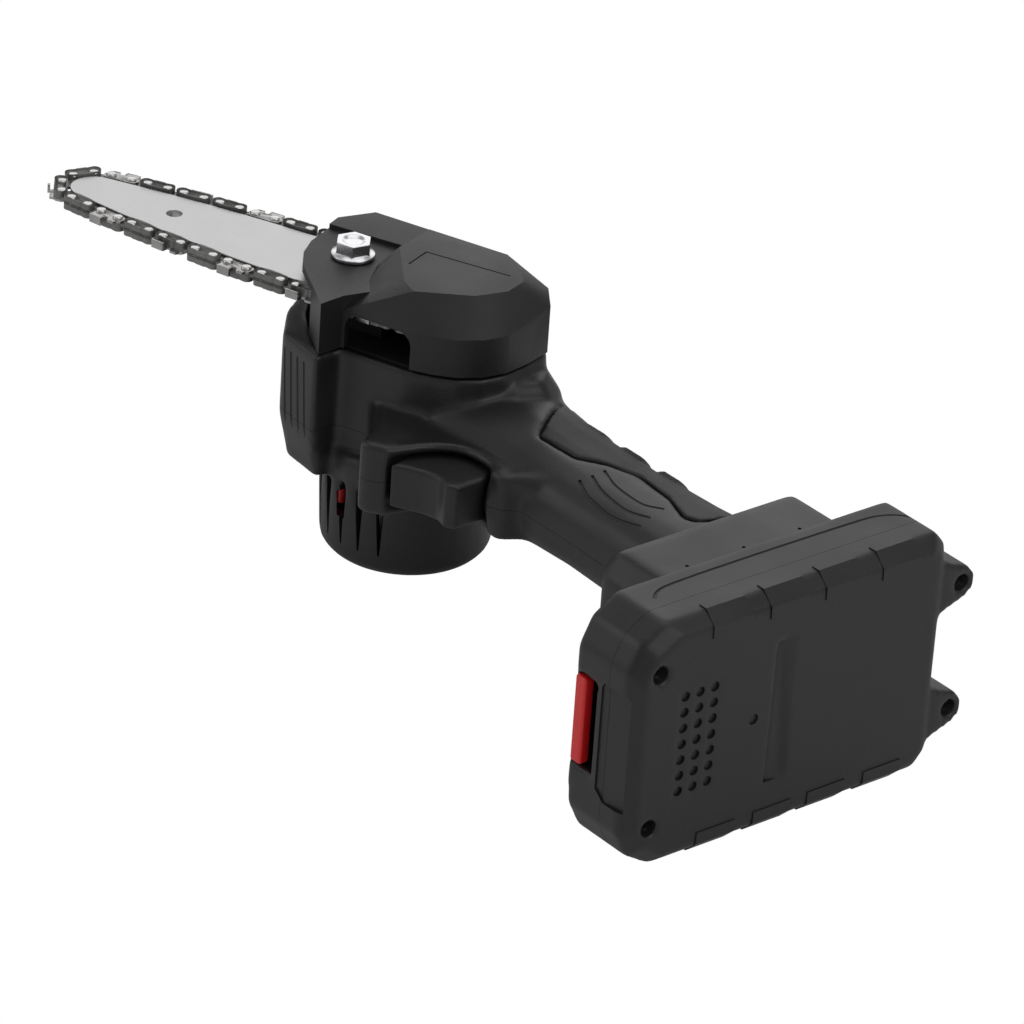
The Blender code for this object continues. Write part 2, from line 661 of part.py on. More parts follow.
SIZE = 400
upper = twin(body, "upper")
less(upper, box("t", (-SIZE, -SIZE, -SIZE), (SIZE, SIZE, MID_Z)))
less(body, box("t", (-SIZE, -SIZE, MID_Z - GAP), (SIZE, SIZE, SIZE)))
node(upper, "housing_left", black_plastic)
node(body, "housing_right", black_plastic)

# trigger with its spring and switch
SPRING_H = 31.0
SWITCH_Q = 0.5
trigger = prism("trigger", TRIGGER, MID_Z - TRIGGER_HALF, MID_Z + TRIGGER_HALF)
bore = [(SPRING_H + a, MID_Z + b) for a, b in circle(0, 0, 3.2, 12)]
less(trigger, stack("t", [[along(h, q, z) for h, z in bore] for q in (SWITCH_Q, SWITCH_Q + 21.5)]))
node(trigger, "trigger", black_plastic, (-20, 40, MID_Z))

node(coil("spring", along(SPRING_H, SWITCH_Q + GAP, MID_Z), along(SPRING_H, SWITCH_Q + 14.5, MID_Z),
          2.2, 0.35, 6),
     "trigger_spring", zinc)
switch = side_prism("switch", [(24, -12), (46, -12), (46, SWITCH_Q), (24, SWITCH_Q)], MID_Z - 8, MID_Z + 8)
node(switch, "trigger_switch", pack_plastic)

# motor
can = turned("can", MOTOR_X, 0, [(CAN_R, CAN_LOW_Z), (CAN_R, CAN_TOP_Z - 2), (CAN_R - 2, CAN_TOP_Z)])
less(can, rod("t", MOTOR_X, 0, CAN_R - 1.2, CAN_LOW_Z - 1, CAN_TOP_Z - 2.5),
     rod("t", MOTOR_X, 0, 2.2, -60, 0))
node(can, "motor_can", gear_steel)
WIRE_R = 1.3
LEAD_R = CASE_R - 1.6 - WALL - WIRE_R - 2 * GAP
LEAD_BACK = LEAD_TURN - math.radians(17)
lead = rod("lead", MOTOR_X + LEAD_R * math.cos(LEAD_BACK), LEAD_R * math.sin(LEAD_BACK), WIRE_R,
           CAN_LOW_Z + 12,
           HEAD_LOW_Z + 5, 10)
node(lead, "motor_lead", red_plastic)
cap = rod("cap", MOTOR_X, 0, CAN_R - 1.5, CAN_LOW_Z, CAN_LOW_Z + 3.5)
less(cap, rod("t", MOTOR_X, 0, MOTOR_SHAFT_R + GAP, -100, 0))
node(cap, "motor_end_cap", black_plastic)
rotor = turned("rotor", MOTOR_X, 0, [(MOTOR_SHAFT_R, CAN_LOW_Z + 0.3), (MOTOR_SHAFT_R, CAN_LOW_Z + 5),
                                     (4.0, CAN_LOW_Z + 5), (4.0, CAN_LOW_Z + 11), (10.6, CAN_LOW_Z + 12),
                                     (10.6, CAN_TOP_Z - 6), (MOTOR_SHAFT_R, CAN_TOP_Z - 5),
                                     (MOTOR_SHAFT_R, GEAR_TOP_Z + 0.6)])
node(rotor, "motor_rotor", copper, (MOTOR_X, 0, 0))
for k in range(2):
    mid = math.pi / 2 + math.pi * k
    arc = [mid + math.radians(d) for d in range(-70, 71, 14)]
    shell = [(MOTOR_X + (CAN_R - 1.5) * math.cos(a), (CAN_R - 1.5) * math.sin(a)) for a in arc]
    shell += [(MOTOR_X + 11.2 * math.cos(a), 11.2 * math.sin(a)) for a in arc[::-1]]
    magnet = prism("magnet", shell, CAN_LOW_Z + 13, CAN_TOP_Z - 7)
    node(magnet, "motor_magnet_%d" % (k + 1), dark_ferrite)
    side = 1 - 2 * k
    low = (MOTOR_X + min(4.3 * side, 11 * side), -2.2, CAN_LOW_Z + 5.5)
    high = (MOTOR_X + max(4.3 * side, 11 * side), 2.2, CAN_LOW_Z + 10.5)
    node(box("brush", low, high), "motor_brush_%d" % (k + 1), dark_ferrite)
motor_plate = prism("motor_plate", inset(OUTLINE, WALL + GAP), CAN_TOP_Z + GAP, GEAR_LOW_Z - 0.7)
less(motor_plate, rod("t", 0, 0, 8.0 + GAP, -28.9 - GAP, 0), rod("t", MOTOR_X, 0, 3.0, -60, 0))
less(motor_plate, rod("t", 0, 0, 5.0, -60, 0))
node(motor_plate, "motor_plate", cast)

# battery: two cases, cells, board, button
def pack_outline(shrink):
    f = PACK_FRONT - shrink
    r = PACK_REAR + shrink
    w = PACK_HALF - shrink
    half = [(f, w - 13), (f - 4, w - 5), (f - 12, w), (r + 4, w), (r, w - 4.5)]
    return half + [(q, -z) for q, z in half[::-1]]


def pack(name, levels):
    return stack(name, [[along(h, q, MID_Z + z) for q, z in pack_outline(d)] for h, d in levels])


PACK_TOP = DOCK_H + GAP
FRONT_Z = PACK_HALF - 14.1
REAR_Z = PACK_HALF - 17.9
SCREW_SPOTS = [(PACK_FRONT - 8.8, FRONT_Z), (PACK_FRONT - 8.8, -FRONT_Z), (PACK_REAR - 5.5, REAR_Z),
               (PACK_REAR - 5.5, -REAR_Z)]
lid = pack("lid", [(PACK_TOP, 4), (PACK_TOP + 4, 0), (PACK_SPLIT, 0)])
base = pack("base", [(PACK_SPLIT + GAP, 0), (PACK_H - 4, 0), (PACK_H, 3.5)])
for q, z in SCREW_SPOTS[2:]:
    ear = [(1.3, z - 8), (-7.5, z - 5), (-10, z - 2), (-10, z + 2), (-7.5, z + 5), (1.3, z + 8)]
    ear = [(PACK_REAR + a, MID_Z + b) for a, b in ear]
    plus(base, slab("t", ear, PACK_SPLIT + GAP, PACK_H - 0.5))
    plus(lid, slab("t", ear, PACK_SPLIT - 7, PACK_SPLIT - 0.4))
hollow = pack("hollow", [(PACK_TOP + PACK_WALL, PACK_WALL + 2), (PACK_TOP + 6, PACK_WALL),
                         (PACK_H - 6, PACK_WALL), (PACK_H - PACK_WALL, PACK_WALL + 2)])
for q, z in SCREW_SPOTS[:2]:
    less(hollow, slab("t", [(a, MID_Z + b) for a, b in circle(q, z, 4.2, 12)], PACK_TOP, PACK_H))
boolean(lid, hollow, "DIFFERENCE", keep=True)
less(base, hollow)
rail = []
for h, z in [(PACK_TOP + 1, -RAIL_NECK), (PACK_TOP + 1, RAIL_NECK), (NECK_H - GAP, RAIL_NECK),
             (NECK_H - GAP, RAIL_HEAD), (NECK_H - 7 + GAP, RAIL_HEAD), (NECK_H - 7 + GAP, -RAIL_HEAD),
             (NECK_H - GAP, -RAIL_HEAD), (NECK_H - GAP, -RAIL_NECK)]:
    rail.append((h, z))
rows = []
for q in (-11.4, 47):
    rows.append([along(h, q, MID_Z + z) for h, z in rail])
plus(lid, stack("t", rows))
for z in (-8, 8):
    blade_slot = [(q, MID_Z + z + w) for q, w in ((-13, -1.2), (-2, -1.2), (-2, 1.2), (-13, 1.2))]
    less(lid, slab("t", blade_slot, NECK_H - 8, NECK_H - 1))
dock = slab("dock", [(-17.7, MID_Z - RAIL_HEAD), (-11.7, MID_Z - RAIL_HEAD), (-11.7, MID_Z + RAIL_HEAD),
                     (-17.7, MID_Z + RAIL_HEAD)], NECK_H - 7 + GAP, NECK_H - GAP)
for z in (-8, 8):
    blade = [(q, MID_Z + z + w) for q, w in ((-13, -0.5), (-3, -0.5), (-3, 0.5), (-13, 0.5))]
    plus(dock, slab("t", blade, NECK_H - 6, NECK_H - 2))
node(dock, "dock_terminals", copper)
LATCH_STEP = 4.3           # release button below the dock face
LATCH_RIM = 5.0            # wall left under its opening
LATCH_H = DOCK_H + LATCH_STEP
LATCH_LONG = PACK_SPLIT - LATCH_RIM - GAP - LATCH_TRAVEL - LATCH_H
LATCH_HALF = 16.0
latch_low = LATCH_H + LATCH_LONG + LATCH_TRAVEL + GAP
latch_gap = [(LATCH_H - GAP, -LATCH_HALF - GAP), (latch_low, -LATCH_HALF - GAP),
             (latch_low, LATCH_HALF + GAP), (LATCH_H - GAP, LATCH_HALF + GAP)]
less(lid, stack("t", [[along(h, q, MID_Z + z) for h, z in latch_gap]
                      for q in (PACK_FRONT - 6, PACK_FRONT + 5)]))
latch_box = [(LATCH_H, -LATCH_HALF), (LATCH_H + LATCH_LONG, -LATCH_HALF),
             (LATCH_H + LATCH_LONG, LATCH_HALF), (LATCH_H, LATCH_HALF)]
latch = stack("latch", [[along(h, q, MID_Z + z) for h, z in latch_box]
                        for q in (PACK_FRONT - 3, PACK_FRONT + 0.6)])
node(latch, "release_button", red_plastic, along(LATCH_H, PACK_FRONT, MID_Z))
for k, (q, z) in enumerate(SCREW_SPOTS):
    hole = slab("t", [(a, MID_Z + b) for a, b in circle(q, z, 1.6, 12)], PACK_SPLIT - 6, PACK_H + 2)
    wide = slab("t", [(a, MID_Z + b) for a, b in circle(q, z, 2.6, 12)], PACK_H - 7, PACK_H + 2)
    boolean(lid, hole, "DIFFERENCE", keep=True)
    less(base, hole, wide)
    screw = slab("screw", [(a, MID_Z + b) for a, b in circle(q, z, 1.3, 12)], PACK_SPLIT - 5.5, PACK_H - 6)
    plus(screw, slab("t", [(a, MID_Z + b) for a, b in circle(q, z, 2.3, 12)], PACK_H - 6.7, PACK_H - 5))
    node(screw, "battery_screw_%d" % (k + 1), zinc)
for k in range(21):
    q = PACK_FRONT - 18.1 - (k % 3) * 5.3
    z = (k // 3 - 3) * 5.05
    less(base, slab("t", [(a, MID_Z + b) for a, b in circle(q, z, 1.6, 8)], PACK_H - 0.8, PACK_H + 1))
wedge = [(33.0, 22.5), (29.0, 22.5), (26.3, -22.7), (34.0, -22.7)]
less(base, slab("t", [(q, MID_Z + z) for q, z in wedge], PACK_H - 1.2, PACK_H + 1))
node(lid, "battery_upper_case", pack_plastic)
node(base, "battery_lower_case", pack_plastic)
for k in range(5):
    q = PACK_FRONT - FIRST_CELL - k * CELL_STEP
    cell = [along(CELL_H + a, q + b, MID_Z - CELL_LONG / 2) for a, b in circle(0, 0, CELL_R, 16)]
    tall = [along(CELL_H + a, q + b, MID_Z + CELL_LONG / 2) for a, b in circle(0, 0, CELL_R, 16)]
    node(stack("cell", [cell, tall]), "battery_cell_%d" % (k + 1), cell_wrap)
BOARD_HALF = PACK_HALF - 10.5
board = slab("board", [(PACK_REAR + 8.5, MID_Z - BOARD_HALF), (PACK_FRONT - 15.5, MID_Z - BOARD_HALF),
                       (PACK_FRONT - 15.5, MID_Z + BOARD_HALF), (PACK_REAR + 8.5, MID_Z + BOARD_HALF)],
             CELL_H - CELL_R - 2.2, CELL_H - CELL_R - 0.5)
node(board, "battery_board", board_green)

# put the saw on the floor with the middle of its box over the origin
bpy.context.view_layer.update()
spots = [obj.matrix_world @ v.co for obj in MADE for v in obj.data.vertices]
low = [min(p[i] for p in spots) for i in range(3)]
high = [max(p[i] for p in spots) for i in range(3)]
ROOT.location = (-(low[0] + high[0]) / 2, -(low[1] + high[1]) / 2, -low[2])
print("moved by", [round(v, 6) for v in ROOT.location],
      "size", [round(b - a, 4) for a, b in zip(low, high)])
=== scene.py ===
import json
import math
import bpy
from mathutils import Matrix, Quaternion, Vector


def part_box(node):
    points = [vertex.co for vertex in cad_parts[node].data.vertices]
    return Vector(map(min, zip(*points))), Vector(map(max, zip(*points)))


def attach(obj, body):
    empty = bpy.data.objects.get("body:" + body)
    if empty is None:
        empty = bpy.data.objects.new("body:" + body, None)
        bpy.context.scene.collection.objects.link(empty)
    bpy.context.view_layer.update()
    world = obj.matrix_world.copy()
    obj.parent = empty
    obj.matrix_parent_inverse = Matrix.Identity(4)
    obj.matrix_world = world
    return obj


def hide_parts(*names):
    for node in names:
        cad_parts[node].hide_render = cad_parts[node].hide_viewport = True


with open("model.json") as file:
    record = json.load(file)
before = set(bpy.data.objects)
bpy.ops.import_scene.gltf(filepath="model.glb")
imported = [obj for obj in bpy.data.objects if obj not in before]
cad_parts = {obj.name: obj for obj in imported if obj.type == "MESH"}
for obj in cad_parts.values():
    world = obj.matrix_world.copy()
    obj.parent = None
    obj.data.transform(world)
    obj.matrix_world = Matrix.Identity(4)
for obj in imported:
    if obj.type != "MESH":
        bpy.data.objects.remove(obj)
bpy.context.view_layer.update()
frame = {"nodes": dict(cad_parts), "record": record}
print("loaded", len(frame["nodes"]), "solid pieces")

# %% [markdown]
# The saw is dressed in the frame its solids came packed in. Two places drive everything here: the
# sprocket axis, which the record keeps as a joint, and the direction of the handle, which is the way
# the release button slides. Reading them from the record keeps every piece on the part that carries it.

# %% Places taken from the record
MM = 0.001
joints = {j["name"]: j for j in frame["record"]["behaviour"]["joints"]}
AXIS = Vector(joints["sprocket_spin"]["pos_m"])
MOTOR = Vector(joints["motor_spin"]["pos_m"])
HANDLE = Vector(joints["release_press"]["axis"]).normalized()
TOWARD_TRIGGER = Vector(joints["battery_slide"]["axis"]).normalized()
MIDDLE_Z = (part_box("battery_lower_case")[0][2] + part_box("battery_lower_case")[1][2]) / 2


def on_saw(x, y, z):
    """A point given in millimetres from the sprocket axis."""
    return AXIS + Vector((x, y, z)) * MM


def on_handle(h, q, z):
    """A point h along the handle and q toward the trigger, in millimetres, z from the middle plane."""
    spot = AXIS + (HANDLE * h + TOWARD_TRIGGER * q) * MM
    spot.z = MIDDLE_Z + z * MM
    return spot


print("sprocket axis at", [round(v, 4) for v in AXIS])

# %% [markdown]
# The photograph looks down on the cover from behind the trigger with a long lens and a slight lean.
# A camera can be aimed by angles or by a point; a point and a lean are easier to read, so the camera is
# turned to a target with to_track_quat and then rolled about its own axis.

# %% Camera
CAMERA_SPOT = AXIS + Vector((-0.8349, 1.3879, 0.7960))
CAMERA_AIM = Vector((0.446, -0.762, -0.470))
CAMERA_LEAN = math.radians(3.96)
CAMERA_LENS = 211.0
bpy.ops.object.select_all(action="DESELECT")
bpy.ops.object.camera_add(location=CAMERA_SPOT)
camera = bpy.context.object
camera.rotation_mode = "QUATERNION"
lean = Quaternion((0, 0, 1), CAMERA_LEAN)
camera.rotation_quaternion = CAMERA_AIM.to_track_quat("-Z", "Y") @ lean
camera.data.lens = CAMERA_LENS
camera.data.sensor_width = 36
camera.data.clip_end = 20
bpy.context.scene.camera = camera
bpy.context.scene.view_settings.view_transform = "Standard"
print("camera looks from", [round(v, 3) for v in CAMERA_SPOT])

# %% [markdown]
# Black plastic shows its shape only through what it reflects, so the saw lies on white paper under a
# plain sky. Through Light Path the paper and the sky are full white for the camera and for clear pieces.
# Only a tenth of that white reaches the gloss, because black plastic would turn grey under all of it.

# %% Floor and sky
GLOSS_SHARE = 0.1
FLOOR_WIDE = 8
FLOOR_LOW = -0.0005
PAPER = (0.85, 0.85, 0.85, 1)
WHITE = (1, 1, 1, 1)
SKY_LIGHT = 0.245


def math_node(nodes, links, how, *given):
    """Adds one Math node, fed by sockets or plain numbers, and gives back its output."""
    node = nodes.new("ShaderNodeMath")
    node.operation = how
    for socket, value in zip(node.inputs, given):
        if isinstance(value, float):
            socket.default_value = value
        else:
            links.new(value, socket)
    return node.outputs[0]


def white_for_camera(nodes, links, dim, bright):
    """Mixes dim, which lights the saw, with bright, for the camera, clear pieces and part of the gloss."""
    path = nodes.new("ShaderNodeLightPath")
    gloss = math_node(nodes, links, "MULTIPLY", path.outputs["Is Glossy Ray"], GLOSS_SHARE)
    clear = math_node(nodes, links, "MAXIMUM", path.outputs["Is Transmission Ray"], gloss)
    seen = math_node(nodes, links, "MAXIMUM", path.outputs["Is Camera Ray"], clear)
    mix = nodes.new("ShaderNodeMixShader")
    links.new(seen, mix.inputs[0])
    links.new(dim, mix.inputs[1])
    links.new(bright, mix.inputs[2])
    return mix.outputs[0]


bpy.ops.object.select_all(action="DESELECT")
bpy.ops.mesh.primitive_plane_add(size=FLOOR_WIDE, location=(0, 0, FLOOR_LOW))
floor = bpy.context.object
floor.name = "studio_floor"
floor_mat = bpy.data.materials.new("studio_floor")
floor_mat.use_nodes = True
nodes = floor_mat.node_tree.nodes
links = floor_mat.node_tree.links
nodes.clear()
out = nodes.new("ShaderNodeOutputMaterial")
paper = nodes.new("ShaderNodeBsdfDiffuse")
paper.inputs["Color"].default_value = PAPER
glow = nodes.new("ShaderNodeEmission")
glow.inputs["Color"].default_value = WHITE
links.new(white_for_camera(nodes, links, paper.outputs[0], glow.outputs[0]), out.inputs["Surface"])
floor.data.materials.append(floor_mat)
world = bpy.data.worlds.new("studio")
bpy.context.scene.world = world
world.use_nodes = True
nodes = world.node_tree.nodes
links = world.node_tree.links
nodes.clear()
out = nodes.new("ShaderNodeOutputWorld")
soft = nodes.new("ShaderNodeBackground")
soft.inputs["Color"].default_value = WHITE
soft.inputs["Strength"].default_value = SKY_LIGHT
white = nodes.new("ShaderNodeBackground")
white.inputs["Color"].default_value = WHITE
links.new(white_for_camera(nodes, links, soft.outputs[0], white.outputs[0]), out.inputs["Surface"])
print("white floor and sky")

# %% [markdown]
# A studio lights black tools with large soft boxes, which draw long quiet highlights along the edges. An
# area lamp does the same: one above, a broad one behind the saw for its upper edges, and a small one at
# each end. Small strong lamps would leave hard spots on the plastic.

# %% Lamps
def soft_panel(name, spot, aim, size, power):
    bpy.ops.object.light_add(type="AREA", location=spot)
    lamp = bpy.context.object
    lamp.name = name
    lamp.rotation_mode = "QUATERNION"
    lamp.rotation_quaternion = (Vector(aim) - Vector(spot)).to_track_quat("-Z", "Y")
    lamp.data.shape = "RECTANGLE"
    lamp.data.size = size[0]
    lamp.data.size_y = size[1]
    lamp.data.energy = power
    return lamp


soft_panel("panel_above", (0.0, -0.25, 1.3), (0, 0, 0), (1.3, 0.9), 3.6)
soft_panel("panel_behind", (0.9, -1.5, 0.95), (0, 0, 0.05), (2.2, 1.2), 8.5)
soft_panel("panel_bar_side", (1.1, 0.6, 0.7), (0, 0, 0.05), (0.8, 0.8), 2.4)
soft_panel("panel_battery_side", (-1.0, 0.2, 0.7), (-0.1, 0, 0.05), (0.8, 0.6), 2.5)
print("four soft panels")

# %% [markdown]
# Moulded plastic, rubber and metal all carry fine marks. One node group makes a pebbled grain for the
# mouldings and another makes long brush lines for the steel, so each finish only states how coarse and
# how strong its marks are. A picture of grain would have to be wrapped round every piece, and noise in
# object space needs no wrapping.

# %% Node groups for grain and brushing
def new_group(name, wanted, given):
    group = bpy.data.node_groups.new(name, "ShaderNodeTree")
    for label, value in wanted:
        socket = group.interface.new_socket(label, in_out="INPUT", socket_type="NodeSocketFloat")
        socket.default_value = value
    for label, kind in given:
        group.interface.new_socket(label, in_out="OUTPUT", socket_type=kind)
    start = group.nodes.new("NodeGroupInput")
    end = group.nodes.new("NodeGroupOutput")
    return group, start, end


grain, start, end = new_group("moulded_grain", [("Fineness", 900.0)],
                              [("Height", "NodeSocketFloat"), ("Patches", "NodeSocketFloat")])
where = grain.nodes.new("ShaderNodeTexCoord")
pebble = grain.nodes.new("ShaderNodeTexNoise")
pebble.inputs["Detail"].default_value = 3
grain.links.new(where.outputs["Object"], pebble.inputs["Vector"])
grain.links.new(start.outputs["Fineness"], pebble.inputs["Scale"])
patch = grain.nodes.new("ShaderNodeTexNoise")
patch.inputs["Scale"].default_value = 35
patch.inputs["Detail"].default_value = 5
grain.links.new(where.outputs["Object"], patch.inputs["Vector"])
grain.links.new(pebble.outputs["Fac"], end.inputs["Height"])
grain.links.new(patch.outputs["Fac"], end.inputs["Patches"])

brush, start, end = new_group("brushed_lines", [("Fineness", 4000.0), ("Stretch", 0.01)],
                              [("Height", "NodeSocketFloat"), ("Patches", "NodeSocketFloat")])
where = brush.nodes.new("ShaderNodeTexCoord")
split = brush.nodes.new("ShaderNodeSeparateXYZ")
brush.links.new(where.outputs["Object"], split.inputs[0])
squeezed = math_node(brush.nodes, brush.links, "MULTIPLY", split.outputs["X"], start.outputs["Stretch"])
joined = brush.nodes.new("ShaderNodeCombineXYZ")
brush.links.new(squeezed, joined.inputs["X"])
brush.links.new(split.outputs["Y"], joined.inputs["Y"])
brush.links.new(split.outputs["Z"], joined.inputs["Z"])
line = brush.nodes.new("ShaderNodeTexNoise")
line.inputs["Detail"].default_value = 4
brush.links.new(joined.outputs[0], line.inputs["Vector"])
brush.links.new(start.outputs["Fineness"], line.inputs["Scale"])
cloud = brush.nodes.new("ShaderNodeTexNoise")
cloud.inputs["Scale"].default_value = 60
brush.links.new(where.outputs["Object"], cloud.inputs["Vector"])
brush.links.new(line.outputs["Fac"], end.inputs["Height"])
brush.links.new(cloud.outputs["Fac"], end.inputs["Patches"])
print("groups:", grain.name, brush.name)

# %% [markdown]
# Each finish is one Principled shader. The group's patches move the colour and roughness a little, as
# handling and moulding do, and its height goes to a Bump node for the fine marks that catch the light.

# %% One way to make a finish
ROUGH_DRIFT = 0.06
MARK_DEPTH = 0.0002


def finish(name, group, fine, dark, light, rough, metal, bump, stretch=None):
    mat = bpy.data.materials.new(name)
    mat.use_nodes = True
    nodes = mat.node_tree.nodes
    links = mat.node_tree.links
    shader = nodes["Principled BSDF"]
    shader.inputs["Metallic"].default_value = metal
    marks = nodes.new("ShaderNodeGroup")
    marks.node_tree = group
    marks.inputs["Fineness"].default_value = fine
    if stretch is not None:
        marks.inputs["Stretch"].default_value = stretch
    tone = nodes.new("ShaderNodeValToRGB")
    tone.color_ramp.elements[0].position = 0.3
    tone.color_ramp.elements[0].color = (*dark, 1)
    tone.color_ramp.elements[1].position = 0.7
    tone.color_ramp.elements[1].color = (*light, 1)
    links.new(marks.outputs["Patches"], tone.inputs["Fac"])
    links.new(tone.outputs["Color"], shader.inputs["Base Color"])
    sheen = nodes.new("ShaderNodeMapRange")
    sheen.inputs["From Min"].default_value = 0.3
    sheen.inputs["From Max"].default_value = 0.7
    sheen.inputs["To Min"].default_value = rough - ROUGH_DRIFT
    sheen.inputs["To Max"].default_value = rough + ROUGH_DRIFT
    links.new(marks.outputs["Patches"], sheen.inputs["Value"])
    links.new(sheen.outputs["Result"], shader.inputs["Roughness"])
    push = nodes.new("ShaderNodeBump")
    push.inputs["Strength"].default_value = bump
    push.inputs["Distance"].default_value = MARK_DEPTH
    links.new(marks.outputs["Height"], push.inputs["Height"])
    links.new(push.outputs["Normal"], shader.inputs["Normal"])
    return mat


print("finish maker ready")

# %% [markdown]
# The mouldings are nearly black and differ mostly in gloss: the cover is duller than the housing, and the
# rubber duller still. The metals range from the dark chain steel to the bright zinc of the bolt, and the
# bar is ground bright along its length. Two close colours stand for each finish, a darker and a lighter.

# %% Finishes
BLACK_LOW = (0.010, 0.010, 0.011)
BLACK_HIGH = (0.016, 0.016, 0.017)
FINISH = {
    "housing": finish("housing_black", grain, 1400, BLACK_LOW, BLACK_HIGH, 0.42, 0, 0.25),
    "cover": finish("cover_black", grain, 1100, BLACK_LOW, BLACK_HIGH, 0.5, 0, 0.3),
    "battery": finish("battery_black", grain, 1500, (0.012, 0.012, 0.013), (0.018, 0.018, 0.019),
                      0.46, 0, 0.25),
    "rubber": finish("grip_black", grain, 2200, (0.009, 0.009, 0.009), (0.014, 0.014, 0.014),
                     0.58, 0, 0.35),
    "red": finish("button_red", grain, 1500, (0.82, 0.014, 0.016), (0.90, 0.024, 0.024), 0.35, 0, 0.1),
    "bar": finish("bar_brushed", brush, 5000, (0.49, 0.49, 0.495), (0.56, 0.56, 0.565), 0.42, 1, 0.1, 0.02),
    # Near-black plate finish: painted shade for the dark space seen through the cover window.
    "inner_shade": finish("plate_dark_as_shade", grain, 1800, (0.006, 0.006, 0.006), (0.012, 0.012, 0.012),
                      0.6, 0, 0.1),
    "chain": finish("chain_dark_steel", brush, 2500, (0.17, 0.168, 0.166), (0.26, 0.257, 0.254),
                    0.45, 0.6, 0.15, 0.3),
    "rivet": finish("rivet_polished", grain, 2500, (0.50, 0.49, 0.48), (0.66, 0.65, 0.64), 0.28, 1, 0.1),
    "cutter": finish("cutter_plated", brush, 2500, (0.32, 0.315, 0.31), (0.48, 0.475, 0.47),
                     0.3, 1, 0.12, 0.2),
    "zinc": finish("bolt_zinc", grain, 1800, (0.62, 0.62, 0.64), (0.78, 0.78, 0.8), 0.24, 1, 0.12),
    "steel": finish("inner_steel", brush, 3000, (0.3, 0.3, 0.31), (0.42, 0.42, 0.43), 0.38, 1, 0.15, 0.2),
    "cast": finish("inner_cast", grain, 900, (0.45, 0.45, 0.45), (0.58, 0.58, 0.58), 0.5, 1, 0.4),
    "copper": finish("inner_copper", brush, 2500, (0.55, 0.25, 0.13), (0.72, 0.36, 0.2), 0.4, 1, 0.2, 0.3),
    "ferrite": finish("inner_ferrite", grain, 1000, (0.04, 0.04, 0.04), (0.07, 0.07, 0.07), 0.6, 0, 0.3),
    "film": finish("cell_film", grain, 700, (0.03, 0.2, 0.45), (0.05, 0.26, 0.55), 0.3, 0, 0.05),
    "board": finish("board_mask", grain, 600, (0.015, 0.16, 0.05), (0.03, 0.22, 0.08), 0.4, 0, 0.2),
}
print(len(FINISH), "finishes")

# %% [markdown]
# Pieces inside the closed shells keep their solids as they are and only get a finish. They show when the
# battery is slid off or through the vents, so none of them is left a flat colour.

# %% Finishes for the solids that stay
KEPT = {
    "steel": ["drive_sprocket", "output_shaft", "snap_ring", "drive_gear", "motor_pinion", "bearing_upper",
              "bearing_lower", "motor_can"],
    "cast": ["motor_plate"],
    # The bar plate takes the near-black finish as painted shade inside the cover window.
    "inner_shade": ["bar_plate"],
    "copper": ["motor_rotor", "dock_terminals"],
    "ferrite": ["motor_magnet_1", "motor_magnet_2", "motor_brush_1", "motor_brush_2"],
    "film": ["battery_cell_%d" % k for k in range(1, 6)],
    "zinc": ["battery_screw_%d" % k for k in range(1, 5)] + ["housing_screw_1", "housing_screw_2",
                                                             "trigger_spring"],
    "red": ["motor_lead"],
    "board": ["battery_board"],
    "battery": ["trigger_switch"],
    "housing": ["motor_end_cap"],
}
for look, names in KEPT.items():
    for name in names:
        for face_slot in frame["nodes"][name].material_slots:
            face_slot.material = FINISH[look]
print(sum(len(v) for v in KEPT.values()), "solids finished")

# %% [markdown]
# The mouldings follow their solids exactly, so each starts as a copy of one. Its loose triangles are
# merged, flat triangles are dissolved into the faces they came from, and the sharp edges are then free
# to take the small rounding every moulded edge has.

# %% Helpers to copy, cut and round a moulding
WELD = 0.00001


def deselect():
    if bpy.context.object and bpy.context.object.mode != "OBJECT":
        bpy.ops.object.mode_set(mode="OBJECT")
    bpy.ops.object.select_all(action="DESELECT")


def pick(obj):
    deselect()
    obj.select_set(True)
    bpy.context.view_layer.objects.active = obj


def copy_of(name, piece):
    source = frame["nodes"][name]
    obj = bpy.data.objects.new(piece, source.data.copy())
    obj.matrix_world = source.matrix_world.copy()
    bpy.context.scene.collection.objects.link(obj)
    obj.data.name = piece
    obj.data.materials.clear()
    pick(obj)
    bpy.ops.object.transform_apply(location=True, rotation=True, scale=True)
    bpy.ops.object.mode_set(mode="EDIT")
    bpy.ops.mesh.select_all(action="SELECT")
    bpy.ops.mesh.remove_doubles(threshold=WELD)
    bpy.ops.mesh.dissolve_limited(angle_limit=math.radians(0.5))
    bpy.ops.object.mode_set(mode="OBJECT")
    return obj


def apply_now(obj, kind, **values):
    """Adds one modifier with the values given and applies it at once."""
    pick(obj)
    mod = obj.modifiers.new(kind.lower(), kind)
    for key, value in values.items():
        setattr(mod, key, value)
    bpy.ops.object.modifier_apply(modifier=mod.name)


def join(objs):
    deselect()
    for obj in objs:
        obj.select_set(True)
    bpy.context.view_layer.objects.active = objs[0]
    bpy.ops.object.join()
    return bpy.context.object


def cut(obj, tools, how="DIFFERENCE"):
    """Cuts a list of bodies that stay clear of each other from a piece, or adds them to it."""
    tool = join(tools)
    apply_now(obj, "BOOLEAN", object=tool, operation=how, solver="EXACT")
    bpy.data.objects.remove(tool)


def round_edges(obj, width, segments=3, angle=28):
    apply_now(obj, "BEVEL", width=width * MM, segments=segments, limit_method="ANGLE",
              angle_limit=math.radians(angle), use_clamp_overlap=True, miter_outer="MITER_ARC")
    bpy.ops.object.shade_smooth_by_angle(angle=math.radians(35))
    apply_now(obj, "WEIGHTED_NORMAL", keep_sharp=True)


